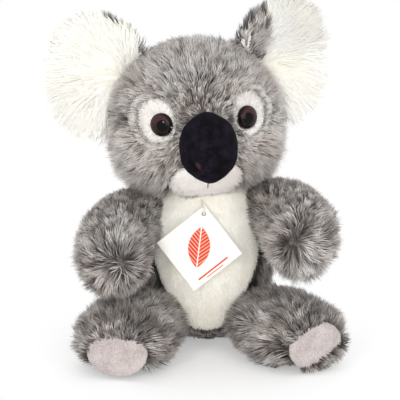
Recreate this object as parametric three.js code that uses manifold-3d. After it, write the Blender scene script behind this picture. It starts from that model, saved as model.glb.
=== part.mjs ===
// A seated plush koala, as the sewn and stuffed pieces it is made of.
// Millimetres, +Z up. The toy faces -Y; its own left is +X. The origin is the middle of its seat.

import * as THREE from 'three';
import { mergeVertices } from 'three/addons/utils/BufferGeometryUtils.js';
import Module from 'manifold-3d';

// Gaps, and how far a cutting shape runs past what it cuts
const seamGap = 0.3;
const overrun = 30;
const floorFlattening = 0.5;

// Plush: the backing and the dense part of the pile
const plushThickness = 6;
const fillOpeningRadius = 9;

// Torso: a pear with a ball-shaped top that the head rides on
const torsoHeight = 110;
const torsoHalfWidth = 39;
const torsoHalfDepth = 38;
const torsoSetback = 2;
const torsoGirthShares = [0.86, 1.02, 0.84];
const torsoFullness = 2.3;
const torsoEndPowers = [3.4, 2.7];
const neckBallRadius = 33;
const neckBallDepth = 8;
const neckPadThickness = 3.5;
const neckPadAngle = 38;
const neckOpeningRadius = 15;
const headNodAngle = 12;

// Belly panel: an egg-shaped outline in the front of the torso
const bellyTopHalfWidth = 27;
const bellyHalfWidth = 31;
const bellyBottomHalfWidth = 13;
const bellyBottomHeight = 13;
const bellyWidestHeight = 58;

// Pellet pouch, low in the filling
const pouchGirthShare = 0.55;
const pouchHeight = 20;
const pouchLift = 3;

// Closing seam down the back
const stitchThread = 1;
const stitchLength = 40;
const stitchCount = 8;
const stitchSwing = 1.4;
const stitchMiddleHeight = 48;
const stitchGrooveWidth = 5;
const stitchGrooveDepth = 2.6;

// Head: an egg lying across, with a muzzle pushed out of its front
const headHalfWidth = 51;
const headHalfHeight = 46.5;
const headHalfDepth = 42;
const headGirthShares = [1.06, 1.02, 0.9];
const headFullness = 2.15;
const headEndPowers = [3.3, 2];
const headSidestep = -6.4;
const headSetback = -6;
const headAboveTorso = 32.5;
const headYawAngle = 8;
const headRollAngle = 3.8;
const muzzleReach = 9;
const muzzleHalfWidth = 25;
const muzzleHalfHeight = 22;
const muzzleDrop = 14;

// Nose: a long oval pad on the muzzle
const noseHalfWidth = 16.6;
const noseHalfHeight = 21;
const noseHalfDepth = 15;
const noseDrop = 11.5;
const noseForward = 50;
const noseGirthShares = [0.88, 1.04, 1];
const noseFullness = 2.2;
const velourThickness = 1.6;

// Face panels
const patchHalfWidth = 11.8;
const patchHalfHeight = 14.8;
const patchSpread = 28.4;
const patchLift = 4.5;
const chinHalfWidth = 21;
const chinHalfHeight = 13;
const chinDrop = 34;
const stitchMouthLength = 5;
const stitchMouthDrop = 36.5;

// Safety eyes: a dome on a ribbed shank, locked by a washer behind the plush
const eyeRadius = 7;
const eyeDomeHeight = 5.2;
const eyeRimHeight = 1.2;
const eyeSpread = 25;
const eyeLift = 2.8;
const eyeSink = 1.5;
const eyeTurnAngle = 34;
const shankRadius = 2;
const shankLength = 12;
const washerRadius = 6.5;
const washerThickness = 1.6;
const washerSetback = 7;

// Ears: two layers of plush, sewn round the edge and cupped at the root
const earHalfWidth = 32;
const earHalfHeight = 36;
const earFrontThickness = 7;
const earBackThickness = 6;
const earEdgeThickness = 1.5;
const earSpread = 55.5;
const earSetback = 13;
const earLift = 28.5;
const earSweepAngle = 25;
const earCup = 7;
const earFold = 5;
const earFoldHalfHeight = 10;
const earRootSink = 20;
const earFlopAngle = 20;

// Arms: shoulder ball, upper arm and paw. Places are from the middle of the seat
const shoulderBallRadius = 18;
const armHalfHeight = 23;
const pawHalfWidth = 21.5;
const pawHalfHeight = 24.5;
const pawGirthShare = 1.06;
const armSwingAngle = 40;
const armSwingAxis = [-0.2, -0.3, 0.93];
const armFullness = 3.6;
const arms = {
  left: { shoulder: [37, -3, 83], elbow: [53, -30, 83], paw: [56, -80, 73.5] },
  right: { shoulder: [-37, -3, 78.5], elbow: [-53, -31, 75.5], paw: [-54, -84, 62.5] },
};

// Legs: hip ball, thigh and foot with a flat sole
const hipBallRadius = 19;
const legRadius = 20.3;
const footRadius = 19.3;
const footWidening = 1.4;
const legFullness = 3.4;
const legs = {
  left: { hip: [33, -23, 21], knee: [46, -42, 19.5], toes: [67, -79, 18.8] },
  right: { hip: [-33, -23, 21], knee: [-44, -46, 19.5], toes: [-53, -94, 18.8] },
};
const legSwingAngle = 50;
const soleSetback = 7;
const soleThickness = 4;
const soleHalfWidth = 18.5;
const soleHalfHeight = 14.8;
const soleRise = -2;
const soleRimShare = 0.35;

// Hang tag and its loop
const tagSide = 36.5;
const tagThickness = 0.8;
const tagHole = 1.5;
const tagHoleInset = 3.6;
const tagLeanAngle = 12;
const tagTwistAngle = 38;
const tagStandoff = 4;
const tagDrop = 26;
const tagSidestep = -1;
const loopThread = 0.8;
const loopSide = -3;
const loopDrop = 16;
const loopStandoff = 0.8;
const loopReachOut = 2;
const loopRise = 4;

// Smoothness of the forms. The inside of a skin has half the corners of its outside
const torsoMesh = { sides: 24, rings: 14 };
const headMesh = { sides: 28, rings: 14 };
const limbMesh = { sides: 16, rings: 10 };
const ballSides = 24;
const neckSides = 32;
const discSides = 16;
const earSides = 20;
const earRings = 4;
const threadSides = 3;
const capRings = 6;
const domeRings = 5;
const mouthSteps = 4;
const loopSteps = 20;
const outlineSteps = 8;
const weldDistance = 0.00001;

const degrees = Math.PI / 180;
const up = new THREE.Vector3(0, 0, 1);
const across = new THREE.Vector3(1, 0, 0);

const wasm = await Module();
wasm.setup();

// Solids and geometry

function solidOf(geometry) {
  const bare = geometry.clone();
  bare.deleteAttribute('normal');
  bare.deleteAttribute('uv');
  const merged = mergeVertices(bare, weldDistance);
  const mesh = new wasm.Mesh({
    numProp: 3,
    vertProperties: new Float32Array(merged.attributes.position.array),
    triVerts: new Uint32Array(merged.index.array),
  });
  return new wasm.Manifold(mesh);
}

function geometryOf(solid) {
  const mesh = solid.getMesh();
  const geometry = new THREE.BufferGeometry();
  geometry.setAttribute('position', new THREE.BufferAttribute(new Float32Array(mesh.vertProperties), 3));
  geometry.setIndex(new THREE.BufferAttribute(new Uint32Array(mesh.triVerts), 1));
  geometry.computeVertexNormals();
  return geometry;
}

// Value at a share of the way along, through a start, a middle and an end value
function swell([start, middle, end], share) {
  const low = start * (1 - share) * (1 - 2 * share);
  const centre = 4 * middle * share * (1 - share);
  return low + centre + end * share * (2 * share - 1);
}

// How far a round end has closed in, as a share of the girth
function endShare(share, fullness, endPowers) {
  const power = THREE.MathUtils.lerp(endPowers[0], endPowers[1], share);
  const open = Math.max(0, 1 - Math.abs(2 * share - 1) ** fullness);
  return open ** (1 / power);
}

// A closed stuffed form along a spine: it swells, tapers and closes with round ends.
// wide and deep are its half sizes across the spine, inset moves its skin inwards.
function stuffedForm({ spine, wide, deep, girthShares, fullness, endPowers, mesh, inset }) {
  const length = spine.getLength();
  const sides = inset > 0 ? mesh.sides / 2 : mesh.sides;
  const rings = inset > 0 ? mesh.rings / 2 : mesh.rings;
  const positions = [];
  const triangles = [];
  for (let ring = 0; ring <= rings; ring += 1) {
    const share = (1 - Math.cos((Math.PI * ring) / rings)) / 2;
    const trimmed = inset / length + share * (1 - (2 * inset) / length);
    const tangent = spine.getTangentAt(THREE.MathUtils.clamp(trimmed, 0, 1));
    const middle = spine.getPointAt(THREE.MathUtils.clamp(trimmed, 0, 1));
    middle.addScaledVector(tangent, (trimmed - THREE.MathUtils.clamp(trimmed, 0, 1)) * length);
    const side = across.clone().addScaledVector(tangent, -across.dot(tangent)).normalize();
    const over = new THREE.Vector3().crossVectors(tangent, side);
    const girth = swell(girthShares, share);
    const closed = ring === 0 || ring === rings ? 0 : endShare(share, fullness, endPowers);
    const halfWide = (wide * girth - inset) * closed;
    const halfDeep = (deep * girth - inset) * closed;
    const count = closed === 0 ? 1 : sides;
    for (let corner = 0; corner < count; corner += 1) {
      const angle = (2 * Math.PI * corner) / sides;
      const point = middle.clone();
      point.addScaledVector(side, halfWide * Math.cos(angle));
      point.addScaledVector(over, halfDeep * Math.sin(angle));
      positions.push(point.x, point.y, point.z);
    }
  }
  const last = 1 + (rings - 1) * sides;
  for (let corner = 0; corner < sides; corner += 1) {
    const next = (corner + 1) % sides;
    triangles.push(0, 1 + next, 1 + corner);
    for (let ring = 0; ring < rings - 2; ring += 1) {
      const lower = 1 + ring * sides;
      const higher = lower + sides;
      triangles.push(lower + corner, lower + next, higher + next);
      triangles.push(lower + corner, higher + next, higher + corner);
    }
    triangles.push(last, last - sides + corner, last - sides + next);
  }
  const geometry = new THREE.BufferGeometry();
  geometry.setAttribute('position', new THREE.BufferAttribute(new Float32Array(positions), 3));
  geometry.setIndex(triangles);
  return geometry;
}

// Moves every point of a geometry by a function of its place
function shifted(geometry, shift) {
  const place = geometry.attributes.position;
  const point = new THREE.Vector3();
  for (let index = 0; index < place.count; index += 1) {
    point.fromBufferAttribute(place, index);
    shift(point);
    place.setXYZ(index, point.x, point.y, point.z);
  }
  return geometry;
}

function ballAt(centre, radius, sides = ballSides) {
  const ball = new THREE.SphereGeometry(radius, sides, sides / 2);
  return solidOf(ball.translate(...centre));
}

// A straight bar of round section from a point along a direction
function barFrom(start, direction, radius, length) {
  const bar = new THREE.CylinderGeometry(radius, radius, length, discSides);
  bar.rotateX(Math.PI / 2).translate(0, 0, length / 2);
  const turn = new THREE.Quaternion().setFromUnitVectors(up, direction.clone().normalize());
  return solidOf(bar.applyQuaternion(turn).translate(start.x, start.y, start.z));
}

// A flat outline in the XZ plane, driven forwards from the middle of the toy
function outlineForwards(shape, depth) {
  const prism = new THREE.ExtrudeGeometry(shape, { depth, bevelEnabled: false, curveSegments: outlineSteps });
  return solidOf(prism.rotateX(Math.PI / 2));
}

function ellipseShape(x, z, halfWidth, halfHeight) {
  const shape = new THREE.Shape();
  shape.absellipse(x, z, halfWidth, halfHeight, 0, 2 * Math.PI, false, 0);
  return shape;
}

// Materials

function cloth(color, roughness = 0.95) {
  return new THREE.MeshStandardMaterial({ color, roughness, metalness: 0 });
}

const greyPlush = cloth('#8a8582');
const ivoryPlush = cloth('#e2e0d6');
const whitePlush = cloth('#f6f4ee');
const suede = cloth('#d0c5c4');
const velour = cloth('#17131d');
const fibre = cloth('#f2f2f0');
const eyePlastic = cloth('#3a2621', 0.12);
const washerPlastic = cloth('#e9e9e6', 0.5);
const thread = cloth('#2a2226', 0.7);
const linenThread = cloth('#8f8b88', 0.7);
const pouchCloth = cloth('#d9d6cd');
const card = cloth('#f7f6f2', 0.6);
const loopPlastic = cloth('#efeeea', 0.4);

const koala = new THREE.Group();

function addPiece(parent, name, solid, material) {
  const mesh = new THREE.Mesh(solid.getMesh ? geometryOf(solid) : solid, material.clone());
  mesh.name = name;
  parent.add(mesh);
  return mesh;
}

// Torso

const neckCentre = new THREE.Vector3(0, 0, torsoHeight - neckBallRadius);
const shouldersHeight = torsoHeight - neckBallDepth - neckBallRadius / 2;

function torsoSpine() {
  const seat = new THREE.Vector3(0, torsoSetback, -floorFlattening);
  const middle = new THREE.Vector3(0, -torsoSetback, torsoHeight / 2);
  const top = new THREE.Vector3(0, 0, torsoHeight);
  return new THREE.QuadraticBezierCurve3(seat, middle, top);
}

// The ball-shaped top, and the space below it
function neckBallLimit(inset) {
  const below = new THREE.BoxGeometry(2 * overrun + torsoHeight, 2 * overrun + torsoHeight, torsoHeight);
  below.translate(0, 0, shouldersHeight - torsoHeight / 2);
  return solidOf(below).add(ballAt(neckCentre.toArray(), neckBallRadius - inset, neckSides));
}

function torsoForm(inset) {
  const form = solidOf(stuffedForm({
    spine: torsoSpine(),
    wide: torsoHalfWidth,
    deep: torsoHalfDepth,
    girthShares: torsoGirthShares,
    fullness: torsoFullness,
    endPowers: torsoEndPowers,
    mesh: torsoMesh,
    inset,
  }));
  const aboveFloor = new THREE.BoxGeometry(2 * torsoHeight, 2 * torsoHeight, 2 * torsoHeight);
  return form.intersect(neckBallLimit(inset)).intersect(solidOf(aboveFloor.translate(0, 0, torsoHeight)));
}

function bellyOutline(margin) {
  const shape = new THREE.Shape();
  const top = torsoHeight + overrun;
  const side = [
    new THREE.Vector2(0, bellyBottomHeight - margin),
    new THREE.Vector2(bellyBottomHalfWidth + margin, bellyBottomHeight + bellyBottomHalfWidth / 2),
    new THREE.Vector2(bellyHalfWidth + margin, bellyWidestHeight),
    new THREE.Vector2(bellyTopHalfWidth + margin, torsoHeight),
    new THREE.Vector2(bellyTopHalfWidth + margin, top),
  ];
  const rightSide = side.slice(1).reverse().map((point) => new THREE.Vector2(-point.x, point.y));
  shape.moveTo(side[0].x, side[0].y);
  shape.splineThru(side.slice(1));
  shape.lineTo(rightSide[0].x, rightSide[0].y);
  shape.splineThru([...rightSide.slice(1), side[0]]);
  return shape;
}

const limbs = [];
for (const side of ['left', 'right']) {
  limbs.push({ centre: arms[side].shoulder, radius: shoulderBallRadius });
  limbs.push({ centre: legs[side].hip, radius: hipBallRadius });
}

function withoutLimbSeats(solid) {
  return limbs.reduce(
    (rest, limb) => rest.subtract(ballAt(limb.centre, limb.radius + seamGap)),
    solid,
  );
}

function closingSeamRoute(torsoBack) {
  const route = [];
  for (let bite = 0; bite <= stitchCount; bite += 1) {
    const rise = stitchMiddleHeight - stitchLength / 2 + (stitchLength * bite) / stitchCount;
    const swing = bite % 2 === 0 ? stitchSwing : -stitchSwing;
    route.push(new THREE.Vector3(swing, torsoBack(rise) - stitchGrooveDepth / 2, rise));
  }
  return new THREE.CatmullRomCurve3(route);
}

// How far back the torso reaches at a height, from its girth there
function torsoBackAt(height) {
  const share = (height + floorFlattening) / (torsoHeight + floorFlattening);
  const middle = torsoSpine().getPointAt(share);
  const closed = endShare(share, torsoFullness, torsoEndPowers);
  return middle.y + torsoHalfDepth * swell(torsoGirthShares, share) * closed;
}

// How far forwards the torso reaches at a height, with the neck's ball cut at its top
function torsoFrontAt(height) {
  const share = (height + floorFlattening) / (torsoHeight + floorFlattening);
  const girth = swell(torsoGirthShares, share) * endShare(share, torsoFullness, torsoEndPowers);
  const bulge = torsoHalfDepth * girth - torsoSpine().getPointAt(share).y;
  const rise = (height - neckCentre.z) / neckBallRadius;
  const ball = neckBallRadius * Math.sqrt(Math.max(0, 1 - rise ** 2));
  return height > shouldersHeight ? Math.min(bulge, ball) : bulge;
}

function seamGroove() {
  const groove = closingSeamRoute(torsoBackAt).getPoints(stitchCount);
  const low = groove[0].z - stitchGrooveWidth / 2;
  const high = groove[groove.length - 1].z + stitchGrooveWidth / 2;
  const outline = new THREE.Shape();
  outline.moveTo(torsoBackAt(low) - stitchGrooveDepth, low);
  for (let step = 1; step <= stitchCount; step += 1) {
    const height = low + ((high - low) * step) / stitchCount;
    outline.lineTo(torsoBackAt(height) - stitchGrooveDepth, height);
  }
  outline.lineTo(torsoHalfDepth + overrun, high);
  outline.lineTo(torsoHalfDepth + overrun, low);
  const slab = new THREE.ExtrudeGeometry(outline, { depth: stitchGrooveWidth, bevelEnabled: false });
  slab.translate(0, 0, -stitchGrooveWidth / 2);
  slab.applyMatrix4(new THREE.Matrix4().makeBasis(
    new THREE.Vector3(0, 1, 0),
    new THREE.Vector3(0, 0, 1),
    new THREE.Vector3(1, 0, 0),
  ));
  return solidOf(slab);
}

function pouchForm(growth) {
  const radius = pouchGirthShare * torsoHalfDepth + growth;
  const pouch = new THREE.SphereGeometry(radius, discSides, discSides / 2);
  pouch.scale(1, 1, (pouchHeight / 2 + growth) / radius);
  return solidOf(pouch.translate(0, torsoSetback, pouchLift + pouchHeight / 2));
}

function buildTorso() {
  const shell = withoutLimbSeats(torsoForm(0)).subtract(torsoForm(plushThickness));
  const neckHole = barFrom(neckCentre, up, neckOpeningRadius, neckBallRadius + overrun);
  const skin = shell.subtract(neckHole);
  const panelSpace = outlineForwards(bellyOutline(0), torsoHalfDepth + overrun);
  const panelHole = outlineForwards(bellyOutline(seamGap), torsoHalfDepth + overrun);
  addPiece(koala, 'torso_skin', skin.subtract(panelHole).subtract(seamGroove()), greyPlush);
  addPiece(koala, 'belly_panel', skin.intersect(panelSpace), ivoryPlush);

  const fill = withoutLimbSeats(torsoForm(plushThickness + seamGap));
  addPiece(koala, 'torso_fill', fill.subtract(pouchForm(seamGap)), fibre);
  addPiece(koala, 'pellet_pouch', pouchForm(0).intersect(fill), pouchCloth);

  const seam = closingSeamRoute(torsoBackAt);
  const section = new THREE.Shape().absarc(0, 0, stitchThread / 2, 0, 2 * Math.PI, false);
  const stitch = new THREE.ExtrudeGeometry(section, {
    extrudePath: seam,
    steps: 2 * stitchCount,
    curveSegments: threadSides,
    bevelEnabled: false,
  });
  addPiece(koala, 'closing_stitch', solidOf(stitch), linenThread);
}

// Neck: a plug of filling in the torso's top opening, spread to a pad under the head

function capGeometry(inner, outer, reach) {
  const profile = [];
  for (let step = 0; step <= capRings; step += 1) {
    const angle = (reach * degrees * step) / capRings;
    profile.push(new THREE.Vector2(outer * Math.sin(angle), outer * Math.cos(angle)));
  }
  for (let step = capRings; step >= 0; step -= 1) {
    const angle = (reach * degrees * step) / capRings;
    profile.push(new THREE.Vector2(inner * Math.sin(angle), inner * Math.cos(angle)));
  }
  const cap = new THREE.LatheGeometry(profile.reverse(), ballSides);
  return cap.rotateX(Math.PI / 2).translate(...neckCentre.toArray());
}

function buildNeck() {
  const pad = capGeometry(neckBallRadius + seamGap, neckBallRadius + neckPadThickness, neckPadAngle);
  const foot = new THREE.Vector3(0, 0, torsoHeight - plushThickness);
  const plug = barFrom(foot, up, neckOpeningRadius - 2 * seamGap, plushThickness + neckPadThickness);
  const crown = ballAt(neckCentre.toArray(), neckBallRadius + neckPadThickness - seamGap, neckSides);
  addPiece(koala, 'neck_fill', solidOf(pad).add(plug.intersect(crown)), fibre);
}

// Head

const head = new THREE.Group();
head.position.set(headSidestep, headSetback, torsoHeight + headAboveTorso);
head.rotation.set(0, -headRollAngle * degrees, headYawAngle * degrees, 'YZX');
head.updateMatrixWorld(true);
koala.add(head);

// How far the muzzle pushes the face forwards at a place
function muzzlePush(x, z) {
  const sideways = (x / muzzleHalfWidth) ** 2;
  const upwards = ((z + muzzleDrop) / muzzleHalfHeight) ** 2;
  return muzzleReach * Math.exp(-sideways - upwards);
}

function headForm(inset) {
  const form = stuffedForm({
    spine: new THREE.LineCurve3(
      new THREE.Vector3(0, 0, -headHalfHeight),
      new THREE.Vector3(0, 0, headHalfHeight),
    ),
    wide: headHalfWidth,
    deep: headHalfDepth,
    girthShares: headGirthShares,
    fullness: headFullness,
    endPowers: headEndPowers,
    mesh: headMesh,
    inset,
  });
  return solidOf(shifted(form, (point) => {
    const frontShare = THREE.MathUtils.clamp(-point.y / headHalfDepth, 0, 1);
    point.y -= muzzlePush(point.x, point.z) * frontShare;
  }));
}

// The face's place at a width and height, from the head's girth there
function faceAt(x, z) {
  const share = (z / headHalfHeight + 1) / 2;
  const girth = swell(headGirthShares, share) * endShare(share, headFullness, headEndPowers);
  const rounding = Math.sqrt(Math.max(0, 1 - (x / (headHalfWidth * girth)) ** 2));
  const bare = headHalfDepth * girth * rounding;
  return -bare - muzzlePush(x, z) * THREE.MathUtils.clamp(bare / headHalfDepth, 0, 1);
}

// The space that the neck takes in the underside of the head
function neckSeat() {
  const inverse = head.matrixWorld.clone().invert();
  const ball = new THREE.SphereGeometry(neckBallRadius + seamGap, neckSides, neckSides / 2);
  ball.translate(...neckCentre.toArray()).applyMatrix4(inverse);
  const pad = capGeometry(
    neckBallRadius / 2,
    neckBallRadius + neckPadThickness + 2 * seamGap,
    neckPadAngle + 2 * headNodAngle,
  );
  return solidOf(ball).add(solidOf(pad.applyMatrix4(inverse)));
}

// Eyes look outwards along the face's slope
function eyeFrame(sign) {
  const group = new THREE.Group();
  group.position.set(sign * eyeSpread, faceAt(eyeSpread, eyeLift), eyeLift);
  group.rotation.set(0, 0, sign * eyeTurnAngle * degrees);
  group.updateMatrix();
  return group;
}

function eyeProfile(growth) {
  const profile = [new THREE.Vector2(0, -shankLength - growth)];
  profile.push(new THREE.Vector2(shankRadius + growth, -shankLength - growth));
  profile.push(new THREE.Vector2(shankRadius + growth, -eyeSink - growth));
  profile.push(new THREE.Vector2(eyeRadius + growth, -eyeSink - growth));
  for (let step = 0; step < domeRings; step += 1) {
    const angle = (Math.PI / 2) * (step / domeRings);
    const radius = (eyeRadius + growth) * Math.cos(angle);
    const rise = eyeRimHeight - eyeSink + (eyeDomeHeight - eyeRimHeight + growth) * Math.sin(angle);
    profile.push(new THREE.Vector2(radius, rise));
  }
  profile.push(new THREE.Vector2(0, eyeDomeHeight - eyeSink + growth));
  return profile;
}

// Turned about the eye's own axis, which points out of the face
function turned(profile) {
  return new THREE.LatheGeometry(profile, discSides).rotateX(Math.PI);
}

function washerProfile(growth) {
  const low = -washerSetback - washerThickness - growth;
  const high = -washerSetback + growth;
  const bore = shankRadius + seamGap - growth;
  return [
    new THREE.Vector2(bore, low),
    new THREE.Vector2(washerRadius + growth, low),
    new THREE.Vector2(washerRadius + growth, high),
    new THREE.Vector2(bore, high),
    new THREE.Vector2(bore, low),
  ];
}

function eyeSpace(frame) {
  const eye = turned(eyeProfile(seamGap)).applyMatrix4(frame.matrix);
  const start = new THREE.Vector3(0, washerSetback - seamGap, 0).applyMatrix4(frame.matrix);
  const inwards = new THREE.Vector3(0, 1, 0).transformDirection(frame.matrix);
  const depth = shankLength - washerSetback + 2 * seamGap;
  return solidOf(eye).add(barFrom(start, inwards, washerRadius + seamGap, depth));
}

function buildHead() {
  const neck = neckSeat();
  const eyes = { left: eyeFrame(1), right: eyeFrame(-1) };
  const eyeSpaces = eyeSpace(eyes.left).add(eyeSpace(eyes.right));
  const shell = headForm(0).subtract(headForm(plushThickness)).subtract(neck).subtract(eyeSpaces);
  const reach = headHalfDepth + muzzleReach + overrun;
  let skin = shell;
  for (const [side, sign] of [['left', 1], ['right', -1]]) {
    const x = sign * patchSpread;
    const space = outlineForwards(ellipseShape(x, patchLift, patchHalfWidth, patchHalfHeight), reach);
    const hole = outlineForwards(
      ellipseShape(x, patchLift, patchHalfWidth + seamGap, patchHalfHeight + seamGap),
      reach,
    );
    addPiece(head, `${side}_eye_patch`, shell.intersect(space), whitePlush);
    skin = skin.subtract(hole);
  }
  const chinSpace = outlineForwards(ellipseShape(0, -chinDrop, chinHalfWidth, chinHalfHeight), reach);
  const chinHole = outlineForwards(
    ellipseShape(0, -chinDrop, chinHalfWidth + seamGap, chinHalfHeight + seamGap),
    reach,
  );
  addPiece(head, 'chin_panel', shell.intersect(chinSpace), whitePlush);
  addPiece(head, 'head_skin', skin.subtract(chinHole), greyPlush);
  const fill = headForm(plushThickness + seamGap).subtract(neck).subtract(eyeSpaces);
  addPiece(head, 'head_fill', fill, fibre);

  for (const side of ['left', 'right']) {
    const frame = eyes[side];
    head.add(frame);
    addPiece(frame, `${side}_eye`, solidOf(turned(eyeProfile(0))), eyePlastic);
    addPiece(frame, `${side}_eye_washer`, solidOf(turned(washerProfile(0))), washerPlastic);
  }
}

// Nose and mouth

function noseForm(inset) {
  return stuffedForm({
    spine: new THREE.LineCurve3(
      new THREE.Vector3(0, -noseForward, -noseDrop - noseHalfHeight),
      new THREE.Vector3(0, -noseForward, -noseDrop + noseHalfHeight),
    ),
    wide: noseHalfWidth,
    deep: noseHalfDepth,
    girthShares: noseGirthShares,
    fullness: noseFullness,
    endPowers: [2, 2],
    mesh: limbMesh,
    inset,
  });
}

function buildNose() {
  const face = headForm(-seamGap);
  const inner = solidOf(noseForm(velourThickness));
  const cover = solidOf(noseForm(0)).subtract(inner).subtract(face);
  addPiece(head, 'nose_cover', cover, velour);
  addPiece(head, 'nose_fill', solidOf(noseForm(velourThickness + seamGap)).subtract(face), fibre);

  const low = -stitchMouthDrop - stitchMouthLength / 2;
  const route = [0, 1 / 2, 1].map((share) => {
    const height = low + share * stitchMouthLength;
    return new THREE.Vector3(0, faceAt(0, height) - stitchThread / 2 - seamGap, height);
  });
  const section = new THREE.Shape().absarc(0, 0, stitchThread / 2, 0, 2 * Math.PI, false);
  const stitch = new THREE.ExtrudeGeometry(section, {
    extrudePath: new THREE.CatmullRomCurve3(route),
    steps: mouthSteps,
    curveSegments: threadSides,
    bevelEnabled: false,
  });
  addPiece(head, 'mouth_stitch', solidOf(stitch), thread);
}

// Ears

// One layer of an ear: flat towards the other layer, bulging away from it, cupped and folded
function earLayer(thickness, direction) {
  const positions = [];
  const triangles = [];
  const gap = (direction * seamGap) / 2;
  const bend = (x, z) => {
    const outward = (x + earHalfWidth) / (2 * earHalfWidth);
    const fold = earFold * Math.exp(-((z / earFoldHalfHeight) ** 2)) * (1 - outward / 2);
    return fold - earCup * (Math.abs(z) / earHalfHeight) ** 2 * (1 - outward / 2);
  };
  for (const face of [0, 1]) {
    for (let ring = 0; ring <= earRings; ring += 1) {
      const share = Math.sin((Math.PI / 2) * (ring / earRings));
      const bulge = earEdgeThickness + (thickness - earEdgeThickness) * Math.sqrt(1 - share ** 2);
      const count = ring === 0 ? 1 : earSides;
      for (let corner = 0; corner < count; corner += 1) {
        const angle = (2 * Math.PI * corner) / earSides;
        const x = earHalfWidth * share * Math.cos(angle);
        const z = earHalfHeight * share * Math.sin(angle);
        positions.push(x, bend(x, z) + gap + direction * bulge * face, z);
      }
    }
  }
  const perFace = 1 + earRings * earSides;
  const flip = direction > 0;
  const triangle = (a, b, c) => triangles.push(...(flip ? [a, c, b] : [a, b, c]));
  for (let corner = 0; corner < earSides; corner += 1) {
    const next = (corner + 1) % earSides;
    triangle(0, 1 + next, 1 + corner);
    triangle(perFace, perFace + 1 + corner, perFace + 1 + next);
    for (let ring = 1; ring < earRings; ring += 1) {
      const inner = 1 + (ring - 1) * earSides;
      const outer = inner + earSides;
      triangle(inner + corner, inner + next, outer + next);
      triangle(inner + corner, outer + next, outer + corner);
      triangle(perFace + inner + corner, perFace + outer + next, perFace + inner + next);
      triangle(perFace + inner + corner, perFace + outer + corner, perFace + outer + next);
    }
    const rim = 1 + (earRings - 1) * earSides;
    triangle(rim + corner, rim + next, perFace + rim + next);
    triangle(rim + corner, perFace + rim + next, perFace + rim + corner);
  }
  const geometry = new THREE.BufferGeometry();
  geometry.setAttribute('position', new THREE.BufferAttribute(new Float32Array(positions), 3));
  geometry.setIndex(triangles);
  return geometry;
}

function buildEars() {
  for (const [side, sign] of [['left', 1], ['right', -1]]) {
    const ear = new THREE.Group();
    ear.position.set(sign * earSpread, earSetback, earLift);
    ear.rotation.set(0, 0, sign * earSweepAngle * degrees);
    ear.updateMatrix();
    head.add(ear);
    const toHead = ear.matrix;
    const toEar = toHead.clone().invert();
    const root = -earHalfWidth + earRootSink;
    const swings = [-earFlopAngle, -earFlopAngle / 2, 0, earFlopAngle / 2, earFlopAngle];
    const layers = [['front', earFrontThickness, -1, whitePlush], ['back', earBackThickness, 1, greyPlush]];
    for (const [layer, thickness, direction, material] of layers) {
      const lobe = earLayer(thickness, direction);
      if (sign < 0) {
        lobe.scale(-1, 1, 1);
        lobe.setIndex([...lobe.index.array].reverse());
      }
      let solid = solidOf(lobe);
      for (const swing of swings) {
        const face = geometryOf(headForm(-seamGap)).applyMatrix4(toEar);
        face.translate(-sign * root, 0, 0).rotateZ(swing * degrees).translate(sign * root, 0, 0);
        solid = solid.subtract(solidOf(face));
      }
      addPiece(ear, `${side}_ear_${layer}`, solid, material);
    }
  }
}

// Limbs

function limbForm({ points, wide, deep, girthShares, fullness, inset }) {
  return stuffedForm({
    spine: new THREE.CatmullRomCurve3(points.map((point) => new THREE.Vector3(...point))),
    wide,
    deep,
    girthShares,
    fullness,
    endPowers: [2, 2],
    mesh: limbMesh,
    inset,
  });
}

// The spine's start, moved back so that the limb's round end stands one radius behind the seam
function spineWithRoot(points, radius) {
  const root = new THREE.Vector3(...points[0]);
  const towards = new THREE.Vector3(...points[1]).sub(root).normalize();
  return [root.addScaledVector(towards, -radius).toArray(), ...points];
}

// A limb's form with the torso taken out all along its swing, and its ball in the torso's seat
function seatedLimb(form, centre, radius, axis, swing) {
  const torso = geometryOf(torsoForm(-seamGap));
  const hinge = new THREE.Vector3(...axis).normalize();
  let clear = form;
  for (const share of [0, 1 / 2, 1]) {
    const swung = torso.clone().translate(-centre[0], -centre[1], -centre[2]);
    swung.applyQuaternion(new THREE.Quaternion().setFromAxisAngle(hinge, -share * swing * degrees));
    clear = clear.subtract(solidOf(swung.translate(...centre)));
  }
  return clear.add(form.intersect(ballAt(centre, radius)));
}

function openingTowardsTorso(centre) {
  const start = new THREE.Vector3(...centre);
  const inwards = new THREE.Vector3(0, 0, centre[2]).sub(start);
  return barFrom(start, inwards, fillOpeningRadius, overrun);
}

function buildArms() {
  for (const side of ['left', 'right']) {
    const { shoulder, elbow, paw } = arms[side];
    const [x, y, z] = armSwingAxis;
    const axis = side === 'left' ? [x, y, z] : [x, -y, -z];
    const form = (inset) => solidOf(limbForm({
      points: spineWithRoot([shoulder, elbow, paw], shoulderBallRadius),
      wide: pawHalfWidth,
      deep: pawHalfHeight,
      girthShares: [shoulderBallRadius / pawHalfWidth, armHalfHeight / pawHalfHeight, pawGirthShare],
      fullness: armFullness,
      inset,
    }));
    const outer = seatedLimb(form(0), shoulder, shoulderBallRadius, axis, armSwingAngle);
    const skin = outer.subtract(form(plushThickness)).subtract(openingTowardsTorso(shoulder));
    addPiece(koala, `${side}_arm_skin`, skin, greyPlush);
    const inner = form(plushThickness + seamGap);
    const fill = seatedLimb(inner, shoulder, shoulderBallRadius, axis, armSwingAngle);
    addPiece(koala, `${side}_arm_fill`, fill, fibre);
  }
}

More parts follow.
